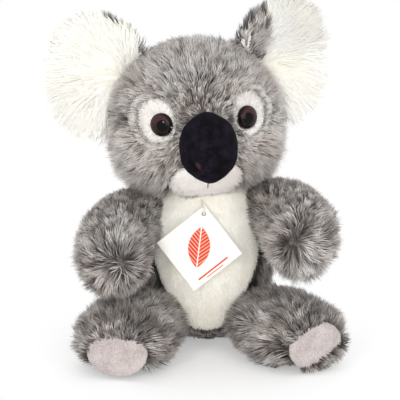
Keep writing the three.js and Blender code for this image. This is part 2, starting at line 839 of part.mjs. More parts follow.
function buildLegs() {
  const aboveFloor = new THREE.BoxGeometry(4 * torsoHeight, 4 * torsoHeight, torsoHeight);
  const air = solidOf(aboveFloor.translate(0, 0, torsoHeight / 2));
  for (const side of ['left', 'right']) {
    const { hip, knee, toes } = legs[side];
    const axis = [hip[1] - toes[1], toes[0] - hip[0], 0];
    const form = (inset) => solidOf(limbForm({
      points: spineWithRoot([hip, knee, toes], hipBallRadius),
      wide: footRadius * footWidening,
      deep: footRadius,
      girthShares: [hipBallRadius / footRadius / footWidening, legRadius / footRadius, 1],
      fullness: legFullness,
      inset,
    })).intersect(air);
    const outer = seatedLimb(form(0), hip, hipBallRadius, axis, legSwingAngle);

    const tip = new THREE.Vector3(...toes);
    const ahead = tip.clone().sub(new THREE.Vector3(...knee)).setZ(0).normalize();
    const soleBack = tip.clone().addScaledVector(ahead, -soleSetback);
    const beyondSole = barFrom(soleBack, ahead, 2 * footRadius, overrun);
    const skin = outer.subtract(form(plushThickness)).subtract(openingTowardsTorso(hip));
    addPiece(koala, `${side}_leg_skin`, skin.subtract(beyondSole), greyPlush);
    const inner = form(plushThickness + seamGap);
    const fill = seatedLimb(inner, hip, hipBallRadius, axis, legSwingAngle);
    addPiece(koala, `${side}_leg_fill`, fill.subtract(beyondSole), fibre);

    const seat = soleBack.addScaledVector(ahead, seamGap);
    addPiece(koala, `${side}_sole`, solidOf(soleGeometry(seat, ahead)).intersect(air), suede);
  }
}

// A sole is an oval pad with a low rim and a slightly domed face
function soleGeometry(seat, ahead) {
  const profile = [new THREE.Vector2(0, 0), new THREE.Vector2(1, 0)];
  for (let step = 0; step <= domeRings; step += 1) {
    const angle = (Math.PI / 2) * (step / domeRings);
    const rise = soleRimShare + (1 - soleRimShare) * Math.sin(angle);
    profile.push(new THREE.Vector2(step === domeRings ? 0 : Math.cos(angle), rise));
  }
  const sole = new THREE.LatheGeometry(profile, discSides);
  sole.scale(soleHalfWidth, soleThickness, soleHalfHeight);
  const sideways = new THREE.Vector3().crossVectors(ahead, up);
  sole.applyMatrix4(new THREE.Matrix4().makeBasis(sideways, ahead, up));
  return sole.translate(seat.x, seat.y, seat.z + soleRise);
}

// Hang tag: a card that hangs by one corner from a loop below the chin

const tagHinge = new THREE.Vector3(loopSide, -torsoFrontAt(torsoHeight - loopDrop), torsoHeight - loopDrop);
const tagMiddle = new THREE.Vector3(tagSidestep, 0, -tagDrop).add(tagHinge);
tagMiddle.y = -torsoFrontAt(tagMiddle.z) - tagStandoff;

function buildTag() {
  const tag = new THREE.Group();
  tag.position.copy(tagMiddle);
  tag.rotation.set(-tagLeanAngle * degrees, 0, 0);
  tag.updateMatrix();
  koala.add(tag);

  const outline = new THREE.Shape();
  const half = tagSide / 2;
  outline.moveTo(-half, -half);
  outline.lineTo(half, -half);
  outline.lineTo(half, half);
  outline.lineTo(-half, half);
  const hole = new THREE.Path().absarc(half - tagHoleInset, half - tagHoleInset, tagHole, 0, 2 * Math.PI);
  outline.holes.push(hole);
  const sheet = new THREE.ExtrudeGeometry(outline, { depth: tagThickness, bevelEnabled: false });
  sheet.rotateZ(tagTwistAngle * degrees).rotateX(Math.PI / 2);
  addPiece(tag, 'tag_card', solidOf(sheet), card);

  const corner = Math.SQRT2 * (half - tagHoleInset);
  const turn = Math.PI / 4 + tagTwistAngle * degrees;
  const punched = new THREE.Vector3(corner * Math.cos(turn), -tagThickness / 2, corner * Math.sin(turn));
  punched.applyMatrix4(tag.matrix);
  const tip = new THREE.Vector3(0, -loopReachOut, loopRise).add(punched);
  const start = tagHinge.clone().add(new THREE.Vector3(0, -loopStandoff, -loopThread));
  const end = tagHinge.clone().add(new THREE.Vector3(0, -loopStandoff, loopThread));
  const behind = punched.clone().add(new THREE.Vector3(0, loopReachOut, 0));
  const front = punched.clone().add(new THREE.Vector3(0, -loopReachOut, 0));
  const route = new THREE.CatmullRomCurve3([start, behind, punched, front, tip, end]);
  const section = new THREE.Shape().absarc(0, 0, loopThread / 2, 0, 2 * Math.PI, false);
  const loop = new THREE.ExtrudeGeometry(section, {
    extrudePath: route,
    steps: loopSteps,
    curveSegments: threadSides,
    bevelEnabled: false,
  });
  addPiece(koala, 'tag_loop', solidOf(loop), loopPlastic);
}

buildTorso();
buildNeck();
buildHead();
buildNose();
buildEars();
buildArms();
buildLegs();
buildTag();

export default koala;
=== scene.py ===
"""A seated plush koala: sewn, stuffed forms with real pile, safety eyes, suede soles and a hang tag.

Metres, +Z up, in the same frame as the CAD. The toy faces -Y and its own left is +X. Sizes are named in
millimetres and degrees, unless their comment or docstring says otherwise.
"""

import logging
import math
from contextlib import contextmanager
from dataclasses import dataclass, field, replace
from enum import Enum
from typing import Callable, Iterator, Union

import bpy
import numpy as np
from mathutils import Matrix, Vector
from mathutils.bvhtree import BVHTree
from mathutils.kdtree import KDTree


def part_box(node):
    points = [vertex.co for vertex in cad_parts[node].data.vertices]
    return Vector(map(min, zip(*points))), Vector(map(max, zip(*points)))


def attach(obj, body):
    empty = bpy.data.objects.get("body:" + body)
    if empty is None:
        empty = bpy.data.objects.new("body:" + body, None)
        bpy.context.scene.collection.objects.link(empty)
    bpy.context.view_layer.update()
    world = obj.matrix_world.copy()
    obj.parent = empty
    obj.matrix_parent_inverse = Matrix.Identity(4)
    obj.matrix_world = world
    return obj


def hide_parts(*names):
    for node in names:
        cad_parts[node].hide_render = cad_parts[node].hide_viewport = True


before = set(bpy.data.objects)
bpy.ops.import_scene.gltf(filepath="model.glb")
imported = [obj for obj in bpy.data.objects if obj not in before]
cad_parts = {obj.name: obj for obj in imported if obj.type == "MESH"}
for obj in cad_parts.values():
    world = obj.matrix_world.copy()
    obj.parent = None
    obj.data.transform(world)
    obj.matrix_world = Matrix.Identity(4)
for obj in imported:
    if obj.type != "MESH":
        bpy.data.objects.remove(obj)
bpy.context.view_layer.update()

LOG = logging.getLogger("koala")
MM = 0.001
SMOOTH_BELOW = math.radians(40)

# A strand's piece is cut before it reaches this many triangles
MOST_TRIANGLES = 190_000

# Places deeper in a form than this count as outside it, because its far wall is nearer
DEEPEST = 9 * MM

# How far pile keeps from the cloth of the next piece
PANEL_REACH = 2.2 * MM
SOLE_REACH = 1.0 * MM
PROUD = 0.2 * MM
TOUCHING = 0.1 * MM

Array = np.ndarray
Number = Union[float, int]
Place = tuple[float, float, float]
Flow = Callable[[Array, Array], Array]
Keep = Callable[[Array, Array], Array]
Shade = Callable[[Array], Array]


class Side(Enum):
    """The toy's own sides, with the sign of X on each."""

    LEFT = 1
    RIGHT = -1

    @property
    def word(self) -> str:
        """The side as piece names have it."""
        return self.name.lower()


# Shader maths


class Wire:
    """One output socket of a finish, on which sums are written as Python expressions."""

    def __init__(self, bench: "Bench", socket: bpy.types.NodeSocket) -> None:
        """Wraps a socket.

        Args:
            bench: the finish that the socket belongs to.
            socket: the output socket.
        """
        self.bench = bench
        self.socket = socket

    def sum(self, operation: str, *values: Union["Wire", Number]) -> "Wire":
        """Adds one Math node.

        Args:
            operation: the Math node's operation.
            values: its inputs, in order.

        Returns:
            The node's output.
        """
        return self.bench.node("ShaderNodeMath", {"operation": operation}, dict(enumerate(values)))

    def __add__(self, other: Union["Wire", Number]) -> "Wire":
        """This plus the other."""
        return self.sum("ADD", self, other)

    __radd__ = __add__

    def __sub__(self, other: Union["Wire", Number]) -> "Wire":
        """This less the other."""
        return self.sum("SUBTRACT", self, other)

    def __rsub__(self, other: Number) -> "Wire":
        """The other less this."""
        return self.sum("SUBTRACT", other, self)

    def __mul__(self, other: Union["Wire", Number]) -> "Wire":
        """This times the other."""
        return self.sum("MULTIPLY", self, other)

    __rmul__ = __mul__

    def __truediv__(self, other: Union["Wire", Number]) -> "Wire":
        """This over the other."""
        return self.sum("DIVIDE", self, other)

    def __rtruediv__(self, other: Number) -> "Wire":
        """The other over this."""
        return self.sum("DIVIDE", other, self)

    def __pow__(self, other: Union["Wire", Number]) -> "Wire":
        """This to the power of the other."""
        return self.sum("POWER", self, other)

    def __abs__(self) -> "Wire":
        """This without its sign."""
        return self.sum("ABSOLUTE", self)

    def highest(self, *others: "Wire") -> "Wire":
        """The highest of this and the others.

        Args:
            others: the outputs besides this one.

        Returns:
            The highest output.
        """
        top = self
        for other in others:
            top = self.sum("MAXIMUM", top, other)
        return top

    def under(self, limit: Union["Wire", Number], soft: float) -> "Wire":
        """A mask that is 1 below a limit and fades to 0 over a soft edge.

        Args:
            limit: where the mask is a half.
            soft: how wide the edge is.

        Returns:
            The mask, from 0 to 1.
        """
        edge = (limit - self) / soft + 0.5 if isinstance(limit, Wire) else 0.5 + limit / soft - self / soft
        edge.socket.node.use_clamp = True
        return edge


def shade_of(code: str) -> tuple[float, float, float, float]:
    """A written colour as Blender's linear values.

    Args:
        code: six hexadecimal digits.

    Returns:
        Red, green, blue and alpha.
    """
    knee, slope, offset, power = 0.04045, 12.92, 0.055, 2.4
    parts = [int(code[i : i + 2], 16) / 255 for i in (0, 2, 4)]
    linear = [p / slope if p < knee else ((p + offset) / (1 + offset)) ** power for p in parts]
    return linear[0], linear[1], linear[2], 1.0


class Bench:
    """The node tree of one finish, with a Principled shader ready on it."""

    def __init__(self, name: str) -> None:
        """Makes the material.

        Args:
            name: the material's name.
        """
        self.material = bpy.data.materials.new(name)
        self.material.use_nodes = True
        self.tree = self.material.node_tree
        self.shader = self.tree.nodes["Principled BSDF"]

    def node(
        self,
        kind: str,
        settings: dict | None = None,
        sockets: dict | None = None,
        out: Union[int, str] = 0,
    ) -> Wire:
        """Adds any node.

        Args:
            kind: the node's type.
            settings: its settings, set first; "stops" are a ramp's places and colours.
            sockets: the values or links of its sockets, by name or number.
            out: the output that is wanted.

        Returns:
            That output.
        """
        made = self.tree.nodes.new(kind)
        for key, value in (settings or {}).items():
            if key == "stops":
                self._stops(made.color_ramp, value)
            else:
                setattr(made, key, value)
        for key, value in (sockets or {}).items():
            self.feed(made, key, value)
        return Wire(self, made.outputs[out])

    def feed(self, node: bpy.types.Node, key: Union[int, str], value: object) -> None:
        """Links or sets one socket.

        Args:
            node: the node.
            key: the socket's name or number.
            value: a Wire to link, or a value to set.
        """
        if isinstance(value, Wire):
            self.tree.links.new(value.socket, node.inputs[key])
        else:
            node.inputs[key].default_value = value

    def dress(self, **sockets: object) -> bpy.types.Material:
        """Feeds the Principled shader and hands the finished material over.

        Args:
            sockets: its inputs, with underscores for spaces.

        Returns:
            The material.
        """
        for key, value in sockets.items():
            self.feed(self.shader, key.replace("_", " "), value)
        return self.material

    def attribute(self, name: str) -> Wire:
        """A number that the mesh carries on its points."""
        return self.node("ShaderNodeAttribute", {"attribute_name": name}, out="Fac")

    def place(self) -> Wire:
        """The place on the object, in metres."""
        return self.node("ShaderNodeTexCoord", out="Object")

    def noise(
        self, size: float, detail: float = 2.0, place: Wire | None = None, twist: float = 0.0
    ) -> Wire:
        """Cloudy noise.

        Args:
            size: how far apart its clouds are, in metres.
            detail: how many finer layers it has.
            place: where it is read, the object's place if left out.
            twist: how much the clouds curl.

        Returns:
            Values round a half.
        """
        sockets = {
            "Vector": place or self.place(),
            "Scale": 1 / size,
            "Detail": detail,
            "Distortion": twist,
        }
        return self.node("ShaderNodeTexNoise", {}, sockets)

    def ramp(self, factor: Wire, *stops: tuple[float, str]) -> Wire:
        """Colours along a factor.

        Args:
            factor: from 0 to 1.
            stops: places and written colours.

        Returns:
            The colour.
        """
        settings = {"stops": [(place, shade_of(code)) for place, code in stops]}
        return self.node("ShaderNodeValToRGB", settings, {0: factor})

    def mix(self, factor: Union[Wire, float], low: object, high: object, blend: str = "MIX") -> Wire:
        """Mixes two colours.

        Args:
            factor: 0 for the first and 1 for the second.
            low: the first, a Wire or a colour.
            high: the second.
            blend: how they mix.

        Returns:
            The colour.
        """
        settings = {"data_type": "RGBA", "blend_type": blend}
        return self.node("ShaderNodeMix", settings, {0: factor, 6: low, 7: high}, out=2)

    def bump(self, height: Wire, depth: float, strength: float = 1.0) -> Wire:
        """A normal that stands in for fine relief.

        Args:
            height: from 0 to 1.
            depth: how deep the relief is, in metres.
            strength: how much of it shows.

        Returns:
            The normal.
        """
        return self.node("ShaderNodeBump", {}, {"Height": height, "Distance": depth, "Strength": strength})

    @staticmethod
    def _stops(ramp: bpy.types.ColorRamp, stops: list) -> None:
        """Sets a ramp's stops.

        Args:
            ramp: the ramp.
            stops: places and linear colours.
        """
        while len(ramp.elements) < len(stops):
            ramp.elements.new(0.5)
        for element, (place, colour) in zip(ramp.elements, stops):
            element.position = place
            element.color = colour


# Finishes, with their patterns' sizes in metres


@dataclass(frozen=True)
class Finish:
    """One finish of the toy, made into a material once."""

    name: str
    roughness: float = 0.95

    def material(self) -> bpy.types.Material:
        """The finished material, made the first time it is asked for."""
        title = f"{self.name}_finish"
        return bpy.data.materials.get(title) or self.make(Bench(title))

    def make(self, bench: Bench) -> bpy.types.Material:
        """Builds the nodes.

        Args:
            bench: an empty node tree.

        Returns:
            The material.
        """
        raise NotImplementedError


@dataclass(frozen=True)
class PileFinish(Finish):
    """Fibres that change colour from the backing to the tip, each with its own tone."""

    roughness: float = 0.6
    dark: tuple[tuple[float, str], ...] = ()
    light: tuple[tuple[float, str], ...] = ()
    warm: str = "ffffff"
    gloss: float = 0.25
    sheen: float = 0.15
    sheen_spread: float = 0.4
    # Painted light: the fibres glow faintly in the warm colour, brightening the parts that other fibres
    # shade.
    glow: float = 0.0

    def make(self, bench: Bench) -> bpy.types.Material:
        """Mixes the darkest and the lightest fibre by each strand's tone, warms some of them and adds a
        faint glow, which is painted light.

        Args:
            bench: an empty node tree.

        Returns:
            The material.
        """
        along = bench.attribute("along")
        low = bench.ramp(along, *self.dark)
        high = bench.ramp(along, *self.light)
        fibre = bench.mix(bench.attribute("tone"), low, high)
        tinted = bench.mix(bench.attribute("warmth"), fibre, shade_of(self.warm), "MULTIPLY")
        return bench.dress(
            Base_Color=tinted,
            Roughness=self.roughness,
            Specular_IOR_Level=self.gloss,
            Sheen_Weight=self.sheen,
            Sheen_Roughness=self.sheen_spread,
            Emission_Color=shade_of(self.warm),
            Emission_Strength=self.glow,
        )


@dataclass(frozen=True)
class TwoTone(Finish):
    """A finish whose pattern goes from a low colour to a high one."""

    low: str = "000000"
    high: str = "ffffff"
    span: tuple[float, float] = (0.3, 0.7)
    relief: float = 0.4 * MM
    relief_strength: float = 0.6

    def tint(self, bench: Bench, pattern: Wire) -> Wire:
        """The low colour below the pattern's span, and the high one above it."""
        return bench.ramp(pattern, (self.span[0], self.low), (self.span[1], self.high))

    def grained(self, bench: Bench, height: Wire) -> Wire:
        """The normal of the finish's relief."""
        return bench.bump(height, self.relief, self.relief_strength)

    def dressed(self, bench: Bench, pattern: Wire, height: Wire, **looks: object) -> bpy.types.Material:
        """Puts the tint, the roughness and the relief on the shader.

        Args:
            bench: the finish's node tree.
            pattern: what the tint follows.
            height: what the relief follows.
            looks: the shader's other inputs.

        Returns:
            The material.
        """
        cloth, relief = self.tint(bench, pattern), self.grained(bench, height)
        return bench.dress(Base_Color=cloth, Roughness=self.roughness, Normal=relief, **looks)


@dataclass(frozen=True)
class BackingFinish(TwoTone):
    """Knitted backing below the pile, mottled by the roots that it holds."""

    span: tuple[float, float] = (0.35, 0.65)
    root: float = 1.6 * MM
    detail: float = 3.0
    # Painted light: the backing glows faintly in its high colour.
    glow: float = 0.0

    def make(self, bench: Bench) -> bpy.types.Material:
        """Speckles the cloth, gives it a knitted relief and, where a glow is set, a faint glow that is
        painted light.

        Args:
            bench: an empty node tree.

        Returns:
            The material.
        """
        knit = bench.node("ShaderNodeTexVoronoi", {}, {"Vector": bench.place(), "Scale": 1 / self.root})
        # A faint glow in the high colour, which is painted light.
        glow = {"Emission_Color": shade_of(self.high), "Emission_Strength": self.glow}
        return self.dressed(bench, bench.noise(self.root, self.detail), knit, **glow)


@dataclass(frozen=True)
class SuedeFinish(TwoTone):
    """Brushed suede cloth with fine grain and soft brush marks."""

    roughness: float = 0.92
    low: str = "9a8e8c"
    high: str = "c2b8b5"
    span: tuple[float, float] = (0.36, 0.62)
    relief: float = 0.5 * MM
    relief_strength: float = 0.55
    mark: float = 9 * MM
    mark_share: float = 0.45
    grain: float = 0.9 * MM
    sheen: float = 0.35
    sheen_spread: float = 0.6

    def make(self, bench: Bench) -> bpy.types.Material:
        """Layers brush marks over grain.

        Args:
            bench: an empty node tree.

        Returns:
            The material.
        """
        marks, grain = bench.noise(self.mark, 3.0), bench.noise(self.grain, 4.0)
        brushed = marks * self.mark_share + grain * (1 - self.mark_share)
        sheen = {"Sheen_Weight": self.sheen, "Sheen_Roughness": self.sheen_spread}
        return self.dressed(bench, brushed, grain, **sheen)


@dataclass(frozen=True)
class VelourFinish(TwoTone):
    """Near-black velour with brushed shading and a brownish mark along one crease."""

    roughness: float = 0.85
    low: str = "030205"
    high: str = "1a1420"
    span: tuple[float, float] = (0.42, 0.62)
    relief_strength: float = 0.7
    lint: str = "4d332d"
    bloom: str = "6d6480"
    brush: float = 5 * MM
    brush_share: float = 0.5
    nap: float = 0.6 * MM
    gloss: float = 0.1
    sheen: float = 0.03
    sheen_spread: float = 0.35
    crease: Place = (0.0, 0.0, 0.0)
    crease_half: Place = (1.5, 14.0, 3.2)
    crease_lean: float = -28.0
    crease_edge: tuple[float, float] = (0.8, 0.7)
    dust: tuple[float, float] = (1.6, 0.25)

    def make(self, bench: Bench) -> bpy.types.Material:
        """Brushes the velour, then marks the crease brownish.

        Args:
            bench: an empty node tree.

        Returns:
            The material.
        """
        brushed, nap = bench.noise(self.brush), bench.noise(self.nap, 3.0)
        cloth = self.tint(bench, brushed * self.brush_share + nap * (1 - self.brush_share))
        spot = bench.node(
            "ShaderNodeMapping",
            {"vector_type": "TEXTURE"},
            {
                "Vector": bench.place(),
                "Location": Vector(self.crease) * MM,
                "Rotation": (0.0, math.radians(self.crease_lean), 0.0),
                "Scale": Vector(self.crease_half) * MM,
            },
        )
        reach = bench.node("ShaderNodeVectorMath", {"operation": "LENGTH"}, {0: spot}, out="Value")
        dust = reach.under(*self.crease_edge) * (nap * self.dust[0] - self.dust[1])
        return bench.dress(
            Base_Color=bench.mix(dust, cloth, shade_of(self.lint)),
            Roughness=self.roughness,
            Specular_IOR_Level=self.gloss,
            Sheen_Weight=self.sheen,
            Sheen_Roughness=self.sheen_spread,
            Sheen_Tint=shade_of(self.bloom),
            Normal=self.grained(bench, nap),
        )


@dataclass(frozen=True)
class EyeFinish(Finish):
    """A clear-domed eye: black pupil, streaked brown iris and a dark rim."""

    roughness: float = 0.04
    gloss: float = 0.14
    pupil: str = "030304"
    pupil_edge: tuple[float, float] = (0.5, 0.06)
    iris: str = "17110f"
    iris_light: str = "42292a"
    iris_span: tuple[float, float] = (0.1, 0.62)
    rim: str = "120c0c"
    rim_edge: tuple[float, float] = (0.9, 0.1)
    streak: float = 1 / 9
    streak_turn: float = 0.3
    streak_share: float = 0.7
    # Painted light: the iris is lighter towards its top, as if lit from above.
    top_light: float = 0.45

    def make(self, bench: Bench) -> bpy.types.Material:
        """Rings the iris from the mesh's own rim share, streaks it outwards and lightens its top, which is
        painted light from above.

        Args:
            bench: an empty node tree.

        Returns:
            The material.
        """
        share = bench.attribute("rim")
        east, north = bench.attribute("east"), bench.attribute("north")
        spread = bench.node("ShaderNodeCombineXYZ", {}, {0: east, 1: north, 2: share * self.streak_turn})
        streaks = bench.noise(self.streak, place=spread)
        lit = streaks * self.streak_share + north * self.top_light
        brown = bench.ramp(lit, (self.iris_span[0], self.iris), (self.iris_span[1], self.iris_light))
        edged = bench.mix(share.under(*self.rim_edge), shade_of(self.rim), brown)
        pupil = bench.attribute("pupil").under(*self.pupil_edge)
        return bench.dress(
            Base_Color=bench.mix(pupil, edged, shade_of(self.pupil)),
            Roughness=self.roughness,
            Specular_IOR_Level=self.gloss,
        )


@dataclass(frozen=True)
class ThreadFinish(TwoTone):
    """Twisted sewing thread."""

    roughness: float = 0.7
    low: str = "17120f"
    high: str = "3b302b"
    span: tuple[float, float] = (0.2, 0.8)
    relief: float = 0.15 * MM
    relief_strength: float = 0.8
    twist: float = 0.9 * MM
    turns: float = 0.3
    wander: float = 0.6

    def make(self, bench: Bench) -> bpy.types.Material:
        """Draws the twist across the thread.

        Args:
            bench: an empty node tree.

        Returns:
            The material.
        """
        strands = bench.node(
            "ShaderNodeTexWave",
            {"bands_direction": "DIAGONAL"},
            {"Vector": bench.place(), "Scale": self.turns / self.twist, "Distortion": self.wander},
            out="Fac",
        )
        return self.dressed(bench, strands, strands)


@dataclass(frozen=True)
class CardFinish(TwoTone):
    """White card with a plain leaf and bars printed on its front, in millimetres from its middle."""

    roughness: float = 0.75
    low: str = "efece5"
    high: str = "f6f4ef"
    relief: float = 0.05 * MM
    relief_strength: float = 0.3
    grain: float = 0.5 * MM
    gloss: float = 0.15
    ink: str = "dc4c28"
    map_side: float = 40.0
    leaf_middle: tuple[float, float] = (0.2, 0.6)
    leaf_half: tuple[float, float] = (12.6, 6.6)
    leaf_power: float = 2.2
    leaf_edge: float = 0.35
    midrib: tuple[float, float] = (0.32, 0.2)
    vein_gap: float = 2.4
    vein_slope: float = 0.9
    vein_start: float = 9.0
    vein_edge: tuple[float, float] = (0.07, 0.06)
    bar_middle: tuple[float, float] = (-1.0, -14.6)
    bar_half: tuple[float, float] = (11.0, 0.5)
    short_bar_half: tuple[float, float] = (6.0, 0.28)
    short_bar_drop: float = 1.9
    bar_edge: tuple[float, float] = (0.2, 0.15)

    def make(self, bench: Bench) -> bpy.types.Material:
        """Prints a leaf with veins in the middle and two bars along one edge.

        Args:
            bench: an empty node tree.

        Returns:
            The material.
        """
        place = bench.node("ShaderNodeUVMap", {"uv_map": "print"})
        parts = bench.node("ShaderNodeSeparateXYZ", {}, {0: place}).socket.node
        x, y = ((Wire(bench, parts.outputs[i]) - 0.5) * self.map_side for i in range(2))
        bar = self._bar(x, y, self.bar_half, 0.0)
        short_bar = self._bar(x, y, self.short_bar_half, self.short_bar_drop)
        ink = self._leaf(x, y).highest(bar, short_bar) * bench.attribute("printed")
        grain = bench.noise(self.grain, 3.0)
        return bench.dress(
            Base_Color=bench.mix(ink, self.tint(bench, grain), shade_of(self.ink)),
            Roughness=self.roughness,
            Specular_IOR_Level=self.gloss,
            Normal=self.grained(bench, grain),
        )

    def _leaf(self, x: Wire, y: Wire) -> Wire:
        """A leaf with a midrib and veins left bare.

        Args:
            x: across the card.
            y: up the card.

        Returns:
            Its mask.
        """
        right = (x - self.leaf_middle[0]) * math.sqrt(0.5)
        up = (y - self.leaf_middle[1]) * math.sqrt(0.5)
        along, over = right + up, abs(up - right)
        taper = 1 - abs(along / self.leaf_half[0]) ** self.leaf_power
        blade = over.under(taper * self.leaf_half[1], self.leaf_edge)
        slant = (along - over * self.vein_slope) / self.vein_gap + self.vein_start
        veins = abs(slant.sum("FRACT", slant) - 0.5).under(*self.vein_edge)
        return blade * (1 - over.under(*self.midrib).highest(veins))

    def _bar(self, x: Wire, y: Wire, half: tuple[float, float], drop: float) -> Wire:
        """One printed bar.

        Args:
            x: across the card.
            y: up the card.
            half: the bar's half length and half width.
            drop: how far it lies below the first bar.

        Returns:
            Its mask.
        """
        length = abs(x - self.bar_middle[0]).under(half[0], self.bar_edge[0])
        return abs(y - self.bar_middle[1] + drop).under(half[1], self.bar_edge[1]) * length


@dataclass(frozen=True)
class MouldedFinish(TwoTone):
    """Moulded plastic, with faint flow marks."""

    roughness: float = 0.4
    low: str = "dedbd2"
    high: str = "f0efe9"
    relief: float = 0.03 * MM
    relief_strength: float = 0.4
    flow: float = 4 * MM
    grain: float = 0.8 * MM

    def make(self, bench: Bench) -> bpy.types.Material:
        """Clouds the plastic slightly."""
        return self.dressed(bench, bench.noise(self.flow), bench.noise(self.grain))


@dataclass(frozen=True)
class FibreFinish(TwoTone):
    """Loose stuffing fibre, or the cloth of a pellet bag."""

    low: str = "d8d7d2"
    high: str = "f6f5f2"
    relief: float = 0.8 * MM
    relief_strength: float = 0.8
    strand: float = 0.8 * MM

    def make(self, bench: Bench) -> bpy.types.Material:
        """Tangles the fibre."""
        tangle = bench.noise(self.strand, 4.0, twist=1.5)
        return self.dressed(bench, tangle, tangle)


# The glow on the pale piles and the pale backing is painted light that brightens their shaded fibres.
GREY_PILE = PileFinish(
    "grey_tipped_pile",
    dark=((0.0, "221e1b"), (0.35, "3f3a37"), (0.7, "7b7571"), (1.0, "b8b2ad")),
    light=((0.0, "5c5652"), (0.3, "a49e9a"), (0.65, "e1ddd9"), (1.0, "fffdfb")),
    warm="f1e2da",
)
IVORY_PILE = PileFinish(
    "ivory_pile",
    dark=((0.0, "c4beb0"), (0.5, "d6d1c4"), (1.0, "e2ded2")),
    light=((0.0, "efece0"), (0.5, "f8f6ee"), (1.0, "fdfcf6")),
    warm="fdf8ee",
    roughness=0.7,
    glow=0.13,
)
FACE_WHITE_PILE = PileFinish(
    "face_white_pile",
    dark=((0.0, "6a6561"), (0.5, "918c88"), (1.0, "b4afab")),
    light=((0.0, "eae8e4"), (0.5, "f4f2ef"), (1.0, "f9f8f6")),
    warm="fcf1ec",
    roughness=0.7,
    glow=0.07,
)
# The chin's copy of the face's white pile glows more: painted light where the head shades the chin.
CHIN_PAINTED_LIGHT_PILE = replace(FACE_WHITE_PILE, name="chin_white_pile", glow=0.2)
LONG_WHITE_PILE = PileFinish(
    "long_white_pile",
    dark=((0.0, "f3efe2"), (0.4, "f8f6ee"), (1.0, "fbfaf4")),
    light=((0.0, "faf8f0"), (0.4, "fefdf9"), (1.0, "fefdfa")),
    warm="fffcf4",
    roughness=0.7,
    sheen=0.3,
    glow=0.1,
)
GREY_BACKING = BackingFinish("grey_backing", low="453f3b", high="6a6460")
PALE_BACKING = BackingFinish("pale_backing", low="eeebe3", high="fbf9f4", glow=0.1)
STUFFING = FibreFinish("fibre_stuffing")
POUCH_CLOTH = FibreFinish("pouch_cloth", low="c9c5ba", high="e0ddd3", strand=0.6 * MM)
SUEDE = SuedeFinish("sole_suede")
NOSE_VELOUR = VelourFinish("nose_velour", crease=(-4.6, -64.0, 123.2))
BROWN_EYE = EyeFinish("brown_eye")
DARK_THREAD = ThreadFinish("mouth_thread")
LINEN_THREAD = ThreadFinish("seam_thread", low="6c6763", high="a5a09b")
TAG_CARD = CardFinish("tag_card")
LOOP_PLASTIC = MouldedFinish("loop_plastic")
WASHER_PLASTIC = MouldedFinish("washer_plastic", low="d5d3cc", high="ecebe6", roughness=0.5)


# Sums on points, one a row


def unit(vectors: Array) -> Array:
    """Vectors at length one."""
    return vectors / np.maximum(np.linalg.norm(vectors, axis=1, keepdims=True), 1e-12)


def along_face(vectors: Array, normals: Array) -> Array:
    """Vectors laid along a face, at length one."""
    return unit(vectors - (vectors * normals).sum(1, keepdims=True) * normals)


def steady(value: Array, low: float, high: float) -> Array:
    """A smooth step from 0 to 1 between two values."""
    share = np.clip((value - low) / (high - low), 0, 1)
    return share * share * (3 - 2 * share)


def bell(value: Array, middle: float, spread: float) -> Array:
    """A smooth bump that is 1 at its middle, and next to nothing two spreads away."""
    return np.exp(-(((value - middle) / spread) ** 2))


def lump(places: Array, middle: Place, half: Place) -> Array:
    """A bump in space that is 1 in its middle, and next to nothing two half sizes away."""
    return np.exp(-(((places - np.array(middle)) / np.array(half)) ** 2).sum(1))


def clouds(places: Array, size: float, seed: int) -> Array:
    """Soft patches over space, from -1 to 1.

    Args:
        places: points, one a row.
        size: how far apart the patches are, in metres.
        seed: which patches.

    Returns:
        One value a point.
    """
    rng = np.random.default_rng(seed)
    total = np.zeros(len(places))
    for _ in range(6):
        wave = rng.normal(size=3)
        wave *= rng.uniform(0.7, 1.4) * 2 * np.pi / size / np.linalg.norm(wave)
        total += np.sin(places @ wave + rng.uniform(0, 2 * np.pi))
    return np.tanh(total / 2)


def own_places(stand: Matrix, places: Array) -> Array:
    """Places in the millimetres of a piece's own frame."""
    inverse = np.array(stand.inverted())
    return (places @ inverse[:3, :3].T + inverse[:3, 3]) / MM


@dataclass(frozen=True)
class Ease:
    """A share that comes in smoothly between two values."""

    share: float
    low: float
    high: float

    def rising(self, value: Array) -> Array:
        """Nothing below the lower value, and the whole share above the higher one."""
        return self.share * steady(value, self.low, self.high)

    def falling(self, value: Array) -> Array:
        """The whole share below the lower value, and nothing above the higher one."""
        return self.share * (1 - steady(value, self.low, self.high))


@dataclass(frozen=True)
class Mottle:
    """Soft patches that a coat's colour or lie follows."""

    size: float
    step: int
    share: float = 1.0

    def over(self, roots: Array, seed: int) -> Array:
        """The patches at the roots, from one share below 0 to one above."""
        return self.share * clouds(roots, self.size * MM, seed + self.step)


# Modelling


